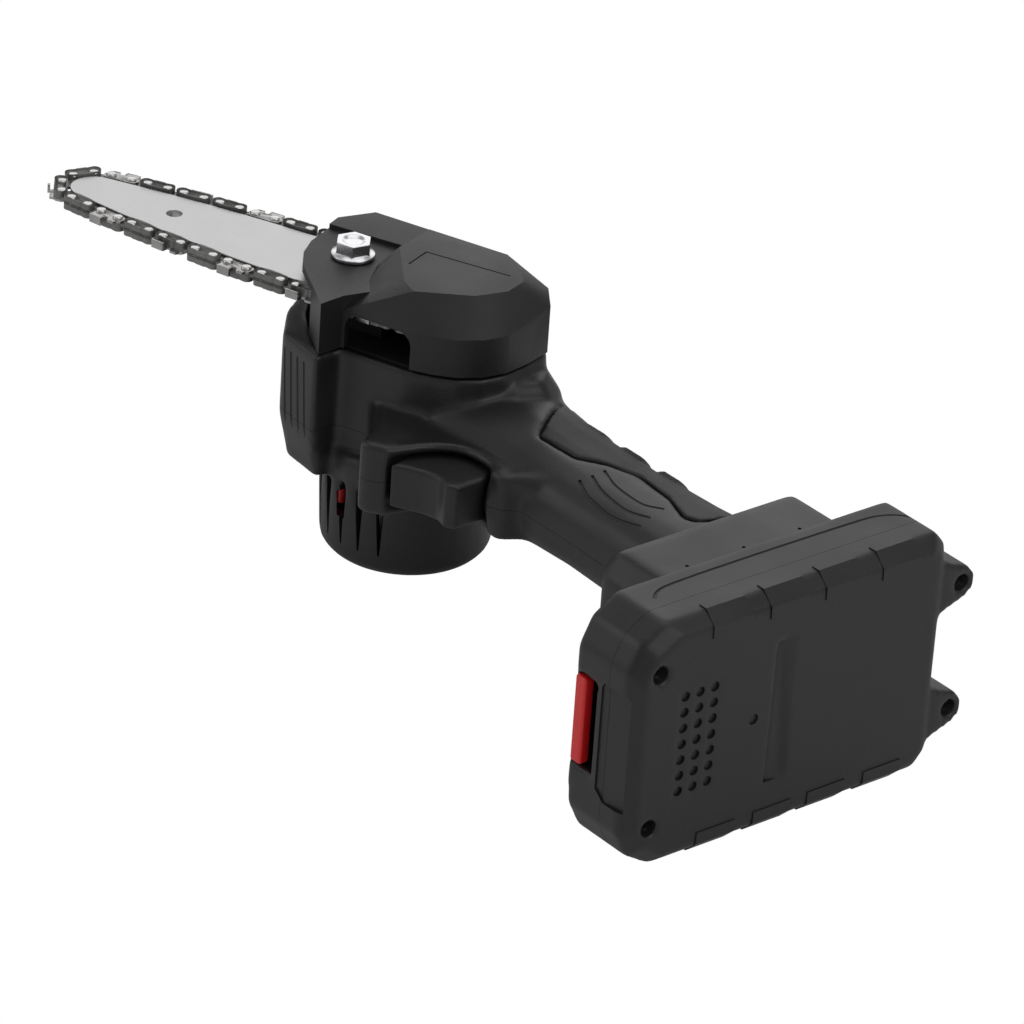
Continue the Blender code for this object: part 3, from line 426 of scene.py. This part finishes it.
def done(obj, look, body, slot, *nodes):
    pick(obj)
    bpy.ops.object.transform_apply(location=True, rotation=True, scale=True)
    obj.data.materials.clear()
    obj.data.materials.append(FINISH[look])
    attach(obj, body)
    if nodes:
        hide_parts(*nodes)
    print(obj.name, len(obj.data.polygons), "faces")
    return obj


print("helpers ready")

# %% [markdown]
# Cuts with a flat outline need one tool: a sheet through a few corners, drawn out along a direction. A
# stretched cube would do for square cuts only, and the cuts in this saw are rarely square.

# %% Helper for flat cuts
def plate(name, corners, way):
    """A flat sheet through the corners, extruded along a direction."""
    mesh = bpy.data.meshes.new(name)
    mesh.from_pydata([tuple(c) for c in corners], [], [range(len(corners))])
    obj = bpy.data.objects.new(name, mesh)
    bpy.context.scene.collection.objects.link(obj)
    pick(obj)
    bpy.ops.object.mode_set(mode="EDIT")
    bpy.ops.mesh.select_all(action="SELECT")
    bpy.ops.mesh.extrude_region_move(TRANSFORM_OT_translate={"value": tuple(Vector(way) * MM)})
    bpy.ops.mesh.select_all(action="SELECT")
    bpy.ops.mesh.normals_make_consistent(inside=False)
    bpy.ops.object.mode_set(mode="OBJECT")
    return obj


print("flat cuts ready")

# %% [markdown]
# The chain cover is a roofed moulding. On top it has the sunk line of a panel where a badge would go,
# left bare here, and on the trigger side a window with round corners where chips leave. The line is a
# thin bent strip laid into the roof, the window a plate through the wall, and both are cut away.

# %% Chain cover
cover = copy_of("sprocket_cover", "chain_cover")
CROWN_TOP = 12.5
PANEL_LINE = [(17.6, 3.2), (18.0, -7.4), (-11.0, -9.5), (-11.0, -9.0), (17.5, -6.9), (17.1, 3.2)]
PANEL_DEEP = 0.4
WINDOW = [(2.2, -10.5), (2.2, -2.2), (2.8, -0.4), (4.0, 1.0), (5.6, 1.7),
          (21.8, 1.7), (23.6, 1.0), (24.8, -0.4), (25.4, -2.2), (25.4, -10.5)]
INSIDE_WALL = 18
cut(cover, [plate("line", [on_saw(x, y, CROWN_TOP - PANEL_DEEP) for x, y in PANEL_LINE], (0, 0, 3)),
            plate("window", [on_saw(x, INSIDE_WALL, z) for x, z in WINDOW], (0, 12, 0))])
round_edges(cover, 0.8)
done(cover, "cover", "saw", "cover_plastic", "sprocket_cover")

# %% [markdown]
# The clamp bolt is a bright flange bolt. The copy keeps the hexagon and the dish in its head, and a fine
# rounding on every edge gives the small highlights that make it read as plated steel.

# %% Clamp bolt
bolt = copy_of("bar_clamp_bolt", "clamp_bolt")
round_edges(bolt, 0.25, 2)
done(bolt, "zinc", "saw", "bright_zinc", "bar_clamp_bolt")

# %% [markdown]
# The guide bar is a flat brushed plate. Its edge keeps the chain groove from the solid, and a narrow
# rounding stands for the dressed rails.

# %% Guide bar
bar = copy_of("guide_bar", "guide_bar_plate")
round_edges(bar, 0.2, 2)
done(bar, "bar", "bar", "brushed_bar", "guide_bar")

# %% [markdown]
# The chain is drive links, side straps and cutters held by rivets, running on a loop of four arcs: the
# nose, the two bellied sides and the sprocket. The loop is worked out once as a function of the distance
# along it, and every link is one modelled shape copied to its place on that function.

# %% The loop the rivets follow
LINK_PITCH = 12.7
LINKS = 28
NOSE_R = 10.76
BELLY_R = 600.0
FIRST_CUTTER = 6.4
LOOP = LINKS * LINK_PITCH
WHEEL_TEETH = 8
WHEEL_R = WHEEL_TEETH * LINK_PITCH / (2 * math.pi)
TIP_PAST_RIVETS = 3.35
REACH = (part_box("saw_chain")[1][0] - AXIS.x) / MM - NOSE_R - TIP_PAST_RIVETS
BELLY_K = BELLY_R - NOSE_R


def loop_angles(reach):
    c = (reach ** 2 + BELLY_K ** 2 - (BELLY_R - WHEEL_R) ** 2) / (2 * reach * BELLY_K)
    leave = math.acos(c)
    return leave, math.atan2(BELLY_K * math.sin(leave), BELLY_K * math.cos(leave) - reach)


def loop_length(reach):
    leave, meet = loop_angles(reach)
    return 2 * (NOSE_R * leave + BELLY_R * (meet - leave) + WHEEL_R * (math.pi - meet))


for _ in range(40):
    REACH += (LOOP - loop_length(REACH)) / 2
LEAVE, MEET = loop_angles(REACH)
SIDE_END = NOSE_R * LEAVE + BELLY_R * (MEET - LEAVE)


def loop_point(s):
    """Point on the rivet loop and the outward direction there, s from the nose tip by the trigger side."""
    s = s % LOOP
    flip = 1
    if s > LOOP / 2:
        s = LOOP - s
        flip = -1
    if s < NOSE_R * LEAVE:
        a = s / NOSE_R
        spot = Vector((REACH, 0)) + NOSE_R * Vector((math.cos(a), math.sin(a)))
    elif s < SIDE_END:
        a = LEAVE + (s - NOSE_R * LEAVE) / BELLY_R
        middle = Vector((REACH - BELLY_K * math.cos(LEAVE), -BELLY_K * math.sin(LEAVE)))
        spot = middle + BELLY_R * Vector((math.cos(a), math.sin(a)))
    else:
        a = MEET + (s - SIDE_END) / WHEEL_R
        spot = WHEEL_R * Vector((math.cos(a), math.sin(a)))
    return Vector((spot.x, flip * spot.y)), Vector((math.cos(a), flip * math.sin(a)))


print("nose centre", round(REACH, 2), "mm ahead of the sprocket")

# %% [markdown]
# Chain links are stamped from strip. A strap starts as a cube at its real size: its four upright edges are
# bevelled into round ends, and its long edges are subdivided and drawn in to the waist a strap has. A
# drive link is shorter, with its inner face extruded into the tang.

# %% Model one strap and one drive link
STRAP_THICK = 0.75
LINK_THICK = 0.9
STRAP_END = 2.4
STRAP_HALF = 2.0
REAR_PAIR = 6.97 / 2
LINK_PAIR = 5.73 / 2
WAIST_DEEP = 0.3
WAIST_HALF = 1.6
TANG_STEP = 1.6


def blank(name, half_long, half_tall, thick):
    deselect()
    bpy.ops.mesh.primitive_cube_add(size=1)
    obj = bpy.context.object
    obj.name = name
    obj.scale = (2 * half_long * MM, 2 * half_tall * MM, thick * MM)
    bpy.ops.object.transform_apply(location=True, rotation=True, scale=True)
    mesh = obj.data
    for edge in mesh.edges:
        a = mesh.vertices[edge.vertices[0]].co
        b = mesh.vertices[edge.vertices[1]].co
        edge.select = abs(a.z - b.z) > thick * MM / 2
    for face in mesh.polygons:
        face.select = False
    bpy.ops.object.mode_set(mode="EDIT")
    bpy.ops.mesh.select_mode(type="EDGE")
    bpy.ops.mesh.bevel(offset=(half_tall - 0.15) * MM, segments=5)
    bpy.ops.object.mode_set(mode="OBJECT")
    return obj


def select_faces(obj, test):
    pick(obj)
    for part in (obj.data.vertices, obj.data.edges, obj.data.polygons):
        for item in part:
            item.select = False
    for face in obj.data.polygons:
        face.select = test(face)
    bpy.ops.object.mode_set(mode="EDIT")
    bpy.ops.mesh.select_mode(type="FACE")


def waist(obj, side):
    """Draws the middle of one long edge in, as a strap is narrower between its rivets."""
    select_faces(obj, lambda f: f.normal.y * side > 0.9)
    bpy.ops.mesh.subdivide(number_cuts=3)
    bpy.ops.object.mode_set(mode="OBJECT")
    select_faces(obj, lambda f: f.normal.y * side > 0.9 and abs(f.center.x) < WAIST_HALF * MM)
    bpy.ops.transform.translate(value=(0, -WAIST_DEEP * side * MM, 0))
    bpy.ops.object.mode_set(mode="OBJECT")


strap = blank("strap", REAR_PAIR + STRAP_END, STRAP_HALF, STRAP_THICK)
waist(strap, 1)
waist(strap, -1)
round_edges(strap, 0.06, 1, 60)
link = blank("link", LINK_PAIR + STRAP_HALF - 0.4, STRAP_HALF - 0.7, LINK_THICK)
select_faces(link, lambda f: f.normal.y < -0.9)
bpy.ops.mesh.extrude_region_move(TRANSFORM_OT_translate={"value": (0, -TANG_STEP * MM, 0)})
bpy.ops.mesh.extrude_region_move(TRANSFORM_OT_translate={"value": (-0.6 * MM, -TANG_STEP * MM, 0)})
bpy.ops.transform.resize(value=(0.6, 1, 1))
bpy.ops.object.mode_set(mode="OBJECT")
round_edges(link, 0.12, 2, 60)
print("strap of", len(strap.data.polygons), "faces, drive link of", len(link.data.polygons))

# %% [markdown]
# A cutter is a strap with a tooth at its rear half and a low depth gauge at the front. The tooth is
# extruded up from the long edge and then over the chain into the top plate, so it stays one piece as on
# the real chain. The cutter at the nose has a shorter tooth, because it stands out furthest there.

# %% Model the cutters and one rivet
TOOTH_RISE = 1.2
TOOTH_TOP = 0.8
TOP_PLATE = 1.9
GAUGE_RISE = 1.3
RIVET_R = 1.65
RIVET_LONG = 4.1
WHOLE_REAR = -9
NOSE_REAR = -1.9


def cutter(name, heel):
    """A strap with a tooth and its top plate from the heel to the middle, and a depth gauge ahead of it."""
    obj = blank(name, REAR_PAIR + STRAP_END, STRAP_HALF, STRAP_THICK)
    select_faces(obj, lambda f: f.normal.y > 0.9)
    bpy.ops.mesh.subdivide(number_cuts=5)
    bpy.ops.object.mode_set(mode="OBJECT")
    select_faces(obj, lambda f: f.normal.y > 0.9 and heel * MM < f.center.x < 0.3 * MM)
    bpy.ops.mesh.extrude_region_move(TRANSFORM_OT_translate={"value": (-0.1 * MM, TOOTH_RISE * MM, 0)})
    bpy.ops.mesh.extrude_region_move(TRANSFORM_OT_translate={"value": (-0.1 * MM, TOOTH_TOP * MM, 0)})
    bpy.ops.object.mode_set(mode="OBJECT")
    select_faces(obj, lambda f: f.normal.z < -0.9 and f.center.y > 3.3 * MM)
    bpy.ops.mesh.extrude_region_move(TRANSFORM_OT_translate={"value": (0, 0, -TOP_PLATE * MM)})
    bpy.ops.object.mode_set(mode="OBJECT")
    select_faces(obj, lambda f: f.normal.y > 0.9 and f.center.x > 1.2 * MM and f.center.y < 2.9 * MM)
    bpy.ops.mesh.extrude_region_move(TRANSFORM_OT_translate={"value": (0.1 * MM, GAUGE_RISE * MM, 0)})
    bpy.ops.transform.resize(value=(0.7, 1, 1))
    bpy.ops.object.mode_set(mode="OBJECT")
    round_edges(obj, 0.1, 2, 60)
    return obj


tooth = cutter("tooth", WHOLE_REAR)
nose_tooth = cutter("nose_tooth", NOSE_REAR)
deselect()
bpy.ops.mesh.primitive_cylinder_add(vertices=16, radius=RIVET_R * MM, depth=RIVET_LONG * MM)
rivet = bpy.context.object
rivet.name = "rivet"
round_edges(rivet, 0.6, 4, 60)
print("two cutters and a rivet modelled")

# %% [markdown]
# Each drive link sits between two side pieces, and every second pair has a cutter, by turns above and
# below the drive links. Copies of the few modelled shapes are set square to the loop at their distance
# along it. Pieces of one kind are joined, so the chain is four objects and not a hundred.

# %% Copy the links round the loop
SIDE_GAP = 0.05
SIDE_Z = LINK_THICK / 2 + SIDE_GAP + STRAP_THICK / 2


def place(shape, s, z, turn_over=False):
    """A copy of a chain shape with its middle at s on the loop, x along the chain and y outward."""
    spot, outward = loop_point(s)
    ahead = Vector((-outward.y, outward.x))
    grid = Matrix(((ahead.x, outward.x, 0, 0), (ahead.y, outward.y, 0, 0), (0, 0, 1, 0), (0, 0, 0, 1)))
    if turn_over:
        grid = grid @ Matrix.Diagonal((1, 1, -1, 1))
    copy = bpy.data.objects.new(shape.name, shape.data.copy())
    bpy.context.scene.collection.objects.link(copy)
    copy.data.transform(Matrix.Translation(on_saw(spot.x, spot.y, z)) @ grid)
    if turn_over:
        copy.data.flip_normals()
    return copy


def gather(parts, name, look, *nodes):
    obj = join(parts)
    obj.name = name
    return done(obj, look, "saw", "chain_steel", *nodes)


straps = []
cutters = []
drives = []
pins = []
for k in range(LINKS):
    middle = FIRST_CUTTER + k * LINK_PITCH
    drives.append(place(link, middle + LINK_PITCH / 2, 0))
    for side, sharp in ((1, k % 4 == 2), (-1, k % 4 == 0)):
        group = cutters if sharp else straps
        shape = (nose_tooth if k == 0 else tooth) if sharp else strap
        group.append(place(shape, middle, side * SIDE_Z, turn_over=side < 0))
    for step in (-REAR_PAIR, REAR_PAIR):
        pins.append(place(rivet, middle + step, 0))
gather(straps, "chain_straps", "chain", "saw_chain")
gather(drives, "chain_drive_links", "chain")
gather(cutters, "chain_cutters", "cutter")
gather(pins, "chain_rivets", "rivet")
for shape in (strap, link, tooth, nose_tooth, rivet):
    bpy.data.objects.remove(shape)

# %% [markdown]
# Grips, rims and rounded forms need three more tools: a skin grown over bodies that overlap and then
# smoothed, a shift of a whole mesh, and a bent round bar along a curve. Rounding edge by edge would stop
# wherever two forms meet, and the skin has no such edges.

# %% Helpers for soft forms
def soften(obj, voxel, rounds, keep=1.0):
    """Grows one skin over bodies that overlap and eases every edge and inside corner of it."""
    apply_now(obj, "REMESH", mode="VOXEL", voxel_size=voxel * MM, use_smooth_shade=True)
    apply_now(obj, "SMOOTH", factor=0.5, iterations=rounds)
    if keep < 1:
        apply_now(obj, "DECIMATE", ratio=keep)


def shift(obj, way):
    pick(obj)
    bpy.ops.object.mode_set(mode="EDIT")
    bpy.ops.mesh.select_all(action="SELECT")
    bpy.ops.transform.translate(value=tuple(way))
    bpy.ops.object.mode_set(mode="OBJECT")


def tube(name, points, radius):
    """A bent round bar: a curve through the points, given a thickness and turned into a mesh."""
    curve = bpy.data.curves.new(name, "CURVE")
    curve.dimensions = "3D"
    curve.bevel_depth = radius * MM
    curve.bevel_resolution = 3
    curve.resolution_u = 6
    curve.use_fill_caps = True
    line = curve.splines.new("NURBS")
    line.points.add(len(points) - 1)
    for spot, point in zip(line.points, points):
        spot.co = (*point, 1)
    line.use_endpoint_u = True
    line.order_u = 3
    obj = bpy.data.objects.new(name, curve)
    bpy.context.scene.collection.objects.link(obj)
    pick(obj)
    bpy.ops.object.convert(target="MESH")
    obj = bpy.context.object
    bpy.ops.object.mode_set(mode="EDIT")
    bpy.ops.mesh.select_all(action="SELECT")
    bpy.ops.mesh.remove_doubles(threshold=WELD / 10)
    bpy.ops.mesh.normals_make_consistent(inside=False)
    bpy.ops.object.mode_set(mode="OBJECT")
    return obj


print("soft forms ready")

# %% [markdown]
# The two housing halves are one flowing form on the real saw: the head runs into the handle and the
# guard over the trigger without an edge. The halves are joined, and what the moulding has besides is laid
# over them: the rim and pillar of the guard, a cheek on the handle, a ledge that closes the head over the
# motor and a chin under it. A skin grown over the lot makes fillets inside and rounds outside at once.

# %% Housing skin
SEAM = 0.35
left = copy_of("housing_left", "left_copy")
right = copy_of("housing_right", "right_copy")
shift(right, (0, 0, SEAM * MM))
RIM = [(-4.5, 48.0), (-8.0, 42.5), (-14.3, 34.5), (-22.0, 30.5), (-29.0, 31.2), (-36.0, 34.0),
       (-40.5, 37.5)]
GUARD_MIDDLE = -36
GUARD_HALF = 9.8
parts = [left, right]
for side in (1, -1):
    parts.append(tube("rim", [on_saw(x, y, GUARD_MIDDLE + side * GUARD_HALF) for x, y in RIM], 1.9))
parts.append(tube("pillar", [on_handle(47.5, 21.5, 10), on_handle(48.5, 24.3, 4), on_handle(48.5, 24.6, 0),
                             on_handle(48.5, 24.3, -4), on_handle(47.5, 21.5, -10)], 1.7))
CHEEK = [(52.5, 19.0, 7.8), (56, 16.8, 8.2), (61, 13, 9.0), (67, 9.5, 9.8)]
parts.append(tube("cheek", [on_handle(h, q, z) for h, q, z in CHEEK], 3.8))
LEDGE_R = 27
LEDGE_LOW = -53.5
LEDGE_TALL = 9.5


def turned(angle, radius):
    """A flat vector of a length in millimetres, turned from the front."""
    return Vector((math.cos(angle), math.sin(angle), 0)) * radius * MM


ledge = []
for turn in range(50, 131, 10):
    spot = MOTOR + turned(math.radians(turn), LEDGE_R)
    spot.z = AXIS.z + LEDGE_LOW * MM
    ledge.append(spot)
parts.append(plate("ledge", ledge, (0, 0, LEDGE_TALL)))
CHIN = [(26, 24), (29, 31.2), (44.5, 24.2), (51.8, 11.5), (54.3, 0), (20, 0)]
CHIN_LOW = -53.2
parts.append(plate("chin", [on_saw(x, y, CHIN_LOW) for x, y in CHIN], (0, 0, 8)))
shell = join(parts)
soften(shell, 0.9, 22, 0.5)
print("skin of", len(shell.data.polygons), "faces")

# %% [markdown]
# The battery rail runs in this moulding, so its way is cut again with the clearance of the solids. Three
# curved lines on each side of the handle and the leaning lines on the front are bent bars cut half deep
# into the surface, found by casting a ray down on it.

# %% The battery way and the lines of the housing
DOCK_H = 158.0
FIT = 0.35
NECK = 13.0 + FIT
HEAD = 16.7 + FIT
DEEP = DOCK_H - 5
WAY = [(DOCK_H + 3, -NECK), (DOCK_H + 3, NECK), (DEEP, NECK), (DEEP, HEAD),
       (DEEP - 7, HEAD), (DEEP - 7, -HEAD), (DEEP, -HEAD), (DEEP, -NECK)]
WAY_FROM = -18.2
LENGTHWISE = TOWARD_TRIGGER * 79
tools = [plate("way", [on_handle(h, WAY_FROM, z) for h, z in WAY], LENGTHWISE)]
ARCS = [[(71, 9.5), (76, 11.6), (80, 12.7), (90, 13.9), (97, 13.4), (102.5, 12)],
        [(72, 5.6), (77, 7.6), (81, 8.8), (92, 10.2), (97, 9.6), (102, 8)],
        [(72, 1), (77, 3), (82, 4.5), (93, 5.4), (97, 4.6), (101, 2.1)]]


def on_skin(obj, h, q, side):
    """The point of the skin straight above or below a place on the handle."""
    start = on_handle(h, q, side * 60)
    return obj.ray_cast(start, (0, 0, -side))[1]


for arc in ARCS:
    for side in (1, -1):
        tools.append(tube("arc", [on_skin(shell, h, q, side) for h, q in arc], 0.5))
for k in range(4):
    x = 45.2 - k * 3.4
    y = 26.7 + k * 1.55
    leaning = [on_saw(x, y, -15), on_saw(x - 1.0, y + 0.5, -28), on_saw(x - 2.4, y + 1.1, -44)]
    tools.append(tube("line", leaning, 0.55))
print(len(tools), "ways and lines ready to cut")

# %% [markdown]
# The casing breathes through a ring of slots that narrow downward, and in one of them the red motor lead
# shows. A radial slot hides the lead behind the wall's thickness, so that one is opened along the line
# from the lead to the eye. Three small pips mark each side of the foot.

# %% Vents and pips of the housing
VENTS = 12
VENT_TURN = math.radians(74.5 + 30)
VENT_STEP = math.radians(15)
VENT = [(-0.3, -75), (0.3, -75), (1.5, -55.5), (-1.5, -55.5)]
WALL_INSIDE = 22.5
LEAD_TURN = math.radians(57.5)
LEAD_R = 22.2
SIGHT = Vector((-0.515, 0.857, 0))
PEEP = [(-1.1, -66), (1.1, -66), (1.5, -57.5), (-1.5, -57.5)]


def standing(foot, way, outline):
    """Corners of an outline that stands square to a direction, in millimetres across it and upward."""
    across = Vector((-way.y, way.x, 0))
    corners = []
    for wide, z in outline:
        spot = foot + across * wide * MM
        spot.z = AXIS.z + z * MM
        corners.append(spot)
    return corners


def rod(name, start, end, radius, sides=24):
    """A round bar between two points, added as a cylinder at its size and place."""
    deselect()
    a = Vector(start)
    b = Vector(end)
    bpy.ops.mesh.primitive_cylinder_add(vertices=sides, radius=radius * MM, depth=(b - a).length)
    obj = bpy.context.object
    obj.name = name
    turn = (b - a).to_track_quat("Z", "Y").to_matrix().to_4x4()
    obj.matrix_world = Matrix.Translation((a + b) / 2) @ turn
    bpy.ops.object.transform_apply(location=True, rotation=True, scale=True)
    return obj


for k in range(VENTS):
    a = VENT_TURN - VENT_STEP * k
    out = Vector((math.cos(a), math.sin(a), 0))
    tools.append(plate("vent", standing(MOTOR + turned(a, WALL_INSIDE), out, VENT), out * 9))
lead = MOTOR + turned(LEAD_TURN, LEAD_R)
peep = plate("peep", standing(lead + SIGHT * 2 * MM, SIGHT, PEEP), SIGHT * 12)
PIP_H = 150.2
for q in (35.8, 14.9, -6.0):
    for side in (1, -1):
        tools.append(rod("pip", on_handle(PIP_H, q, side * 29.2), on_handle(PIP_H, q, side * 33), 0.6, 10))
cut(shell, tools)
cut(shell, [peep])
print("ways, lines and vents cut")

# %% [markdown]
# The real housing is two half shells screwed together, and the thin line between them shows all round.
# The finished skin is copied twice and each copy keeps what lies in its half, with a hair between them,
# which gives the line without modelling a groove.

# %% Split the skin into its two halves
CUT_Z = MIDDLE_Z + 0.05 * MM
SEAM_LINE = 0.12
WIDE = 0.5


def half(obj, name, low, high):
    piece = bpy.data.objects.new(name, obj.data.copy())
    bpy.context.scene.collection.objects.link(piece)
    deselect()
    bpy.ops.mesh.primitive_cube_add(size=1, location=(0, 0, (low + high) / 2))
    block = bpy.context.object
    block.scale = (WIDE, WIDE, high - low)
    bpy.ops.object.transform_apply(location=True, rotation=True, scale=True)
    cut(piece, [block], "INTERSECT")
    pick(piece)
    bpy.ops.object.shade_smooth_by_angle(angle=math.radians(40))
    return piece


upper = half(shell, "housing_upper_half", CUT_Z, 0.2)
lower = half(shell, "housing_lower_half", -0.1, CUT_Z - SEAM_LINE * MM)
bpy.data.objects.remove(shell)
done(upper, "housing", "saw", "black_plastic", "housing_left")
done(lower, "housing", "saw", "black_plastic", "housing_right")

# %% [markdown]
# The trigger is a small moulding pulled straight into the handle. The skin gives it the soft edges a
# finger needs, and it stays a hair inside its solid, so it keeps its clearance.

# %% Trigger
trigger = copy_of("trigger", "trigger_moulding")
soften(trigger, 0.45, 36)
pick(trigger)
bpy.ops.object.shade_smooth_by_angle(angle=math.radians(60))
done(trigger, "housing", "trigger", "black_plastic", "trigger")

# %% [markdown]
# The rubber on the back of the handle fills its recess and has three low pads that stop the hand from
# sliding. The pads are short bars across the back, sunk in the rubber before the skin is grown.

# %% Rubber grip
PADS = [48, 65, 83]
BACK_HALF = 20.6
SIDE_HALF = 15.7


def back_of_handle(z):
    """How far back the handle's rounded outline lies at a height from its middle plane."""
    return -1.2 - BACK_HALF * (1 - (abs(z) / SIDE_HALF) ** 2.5) ** 0.4


PAD_ACROSS = (-13, -10, -5, 0, 5, 10, 13)
parts = [copy_of("grip_insert", "grip_rubber_pad")]
for h in PADS:
    for step in (-3.0, -1.0, 1.0, 3.0):
        bend = [on_handle(h + step, back_of_handle(z) + 0.9, z) for z in PAD_ACROSS]
        parts.append(tube("pad", bend, 1.9))
grip = join(parts)
soften(grip, 0.6, 4)
pick(grip)
bpy.ops.object.shade_smooth_by_angle(angle=math.radians(60))
done(grip, "rubber", "saw", "grip_rubber", "grip_insert")

# %% [markdown]
# The battery is two mouldings held by four screws, made the same way as the housing. The pocket of the
# release button is filled at its lower end, where the real one is shorter than in the solids. Four flat
# tabs on each long edge are added after the skin, because smoothing would take their crisp edges.

# %% Battery skin
PACK_H = 188.1
SPLIT_H = 176.0
HALF = 38.5
base = copy_of("battery_lower_case", "base_copy")
lid = copy_of("battery_upper_case", "lid_copy")
shift(base, HANDLE * -SEAM * MM)
FRONT_END = 84.0
LATCH_LOW = -12.5
LATCH_FROM = 162.0
LATCH_TO = 171.1
FILLED = [(LATCH_FROM - 1, -20), (LATCH_TO + 1, -20), (LATCH_TO + 1, LATCH_LOW),
          (LATCH_FROM - 1, LATCH_LOW)]
fill = plate("fill", [on_handle(h, FRONT_END - 7, z) for h, z in FILLED], TOWARD_TRIGGER * 6.8)
pack = join([lid, base, fill])
soften(pack, 0.9, 11, 0.6)
TABS = [50.8, 30.0, 9.8, -11.3]
BOTTOM = PACK_H - SEAM
PROUD = 0.35
EDGE = [(181.0, HALF - 2), (181.0, HALF + PROUD), (183.9, HALF + PROUD), (BOTTOM + PROUD, HALF - 3.7),
        (BOTTOM + PROUD, HALF - 7.4), (BOTTOM - 2, HALF - 7.4)]
TAB_HALF = 7
tabs = []
for side in (1, -1):
    for q in TABS:
        corners = [on_handle(h, q - TAB_HALF, side * z) for h, z in EDGE]
        tabs.append(plate("tab", corners, TOWARD_TRIGGER * TAB_HALF * 2))
cut(pack, tabs, "UNION")
print("skin of", len(pack.data.polygons), "faces")

# %% [markdown]
# The bottom of the battery has four screw holes, three rows of round dimples and a long ramped
# recess. A panel line runs along each long side, and the front end has a bare sunk panel and the
# pocket of the button. All of them are cut at once, so no cut has to be fitted to another.

# %% Cuts in the battery
SCREWS = [(75.2, 24.4), (75.2, -24.4), (-36.6, 20.6), (-36.6, -20.6)]
tools = []
for q, z in SCREWS:
    tools.append(rod("hole", on_handle(PACK_H - 7, q, z), on_handle(PACK_H + 3, q, z), 2.6))
DIMPLE_ROWS = 3
DIMPLES = 21
for k in range(DIMPLES):
    q = 65.9 - (k % DIMPLE_ROWS) * 5.3
    z = (k // DIMPLE_ROWS - 3) * 5.05
    tools.append(rod("dimple", on_handle(BOTTOM - 1.0, q, z), on_handle(BOTTOM + 2, q, z), 1.55, 14))
WEDGE = [(33.0, 22.5, 1.6), (25.3, 22.5, -0.1), (26.3, -22.7, -0.1), (34.0, -22.7, 1.6)]
tools.append(plate("wedge", [on_handle(BOTTOM - deep, q, z) for q, z, deep in WEDGE], HANDLE * 5))
tools.append(rod("spot", on_handle(BOTTOM - 0.7, 40, 0), on_handle(BOTTOM + 2, 40, 0), 1.7, 16))
PANEL = [(171.5, 66), (168.6, 63.5), (167.2, 57), (166.9, 24),
         (167.2, -14), (168.0, -20), (171.5, -26), (174.0, -27)]
for side in (1, -1):
    tools.append(tube("panel", [on_handle(h, q, side * HALF) for h, q in PANEL], 0.5))
LABEL = [(173.2, 17), (174.2, 18.5), (183.8, 18.5), (184.8, 17),
         (184.8, -18.5), (177, -18.5), (173.2, -15.5)]
LABEL_DEEP = 0.5


def front_of_pack(h, z):
    """A point just under the front end of the battery skin, where the label panel has its floor."""
    spot = pack.ray_cast(on_handle(h, 120, z), -TOWARD_TRIGGER)[1]
    return spot - TOWARD_TRIGGER * LABEL_DEEP * MM


tools.append(plate("label", [front_of_pack(h, z) for h, z in LABEL], TOWARD_TRIGGER * 4))
LATCH_TOP = 16.3
LATCH = [(LATCH_FROM, LATCH_LOW), (LATCH_TO, LATCH_LOW), (LATCH_TO, LATCH_TOP), (LATCH_FROM, LATCH_TOP)]
tools.append(plate("latch", [on_handle(h, FRONT_END - 6, z) for h, z in LATCH], TOWARD_TRIGGER * 10))
SLOT = [(-14, -1.2), (-2, -1.2), (-2, 1.2), (-14, 1.2)]
for z in (-8, 8):
    tools.append(plate("slot", [on_handle(144, q, z + w) for q, w in SLOT], HANDLE * 8))
cut(pack, tools)
print("battery cut")

# %% [markdown]
# The upper and lower case meet in a line round the battery, square to the handle. As with the housing, two
# copies of the skin each keep their own side of that line, and a hair of space between them draws it.

# %% Split the battery skin and finish it
CASE_LINE = 0.1


def along_handle(obj, name, low, high):
    piece = bpy.data.objects.new(name, obj.data.copy())
    bpy.context.scene.collection.objects.link(piece)
    corners = [on_handle(low, q, z) for q, z in ((-90, -90), (130, -90), (130, 90), (-90, 90))]
    cut(piece, [plate("block", corners, HANDLE * (high - low))], "INTERSECT")
    pick(piece)
    bpy.ops.object.shade_smooth_by_angle(angle=math.radians(40))
    return piece


top_case = along_handle(pack, "battery_top_case", 120, SPLIT_H)
low_case = along_handle(pack, "battery_bottom_case", SPLIT_H + CASE_LINE, 200)
bpy.data.objects.remove(pack)
done(top_case, "battery", "battery", "battery_plastic", "battery_upper_case")
done(low_case, "battery", "battery", "battery_plastic", "battery_lower_case")

# %% [markdown]
# The red release button is a bar set in the front end of the battery. It has a plain face with rounded
# edges, so the copy is trimmed to the length of its pocket and a bevel is enough.

# %% Release button
button = copy_of("release_button", "battery_release_button")
BUTTON_LOW = LATCH_LOW + 1.2
ENDS = [(150, BUTTON_LOW), (180, BUTTON_LOW), (180, -40), (150, -40)]
cut(button, [plate("trim", [on_handle(h, 70, z) for h, z in ENDS], TOWARD_TRIGGER * 30)])
round_edges(button, 0.8, 4)
done(button, "red", "release", "red_plastic", "release_button")

# %% [markdown]
# A dressed part has to fit where its solids fit. The last step brings the scene up to date.

# %% Bring the scene up to date
bpy.context.view_layer.update()
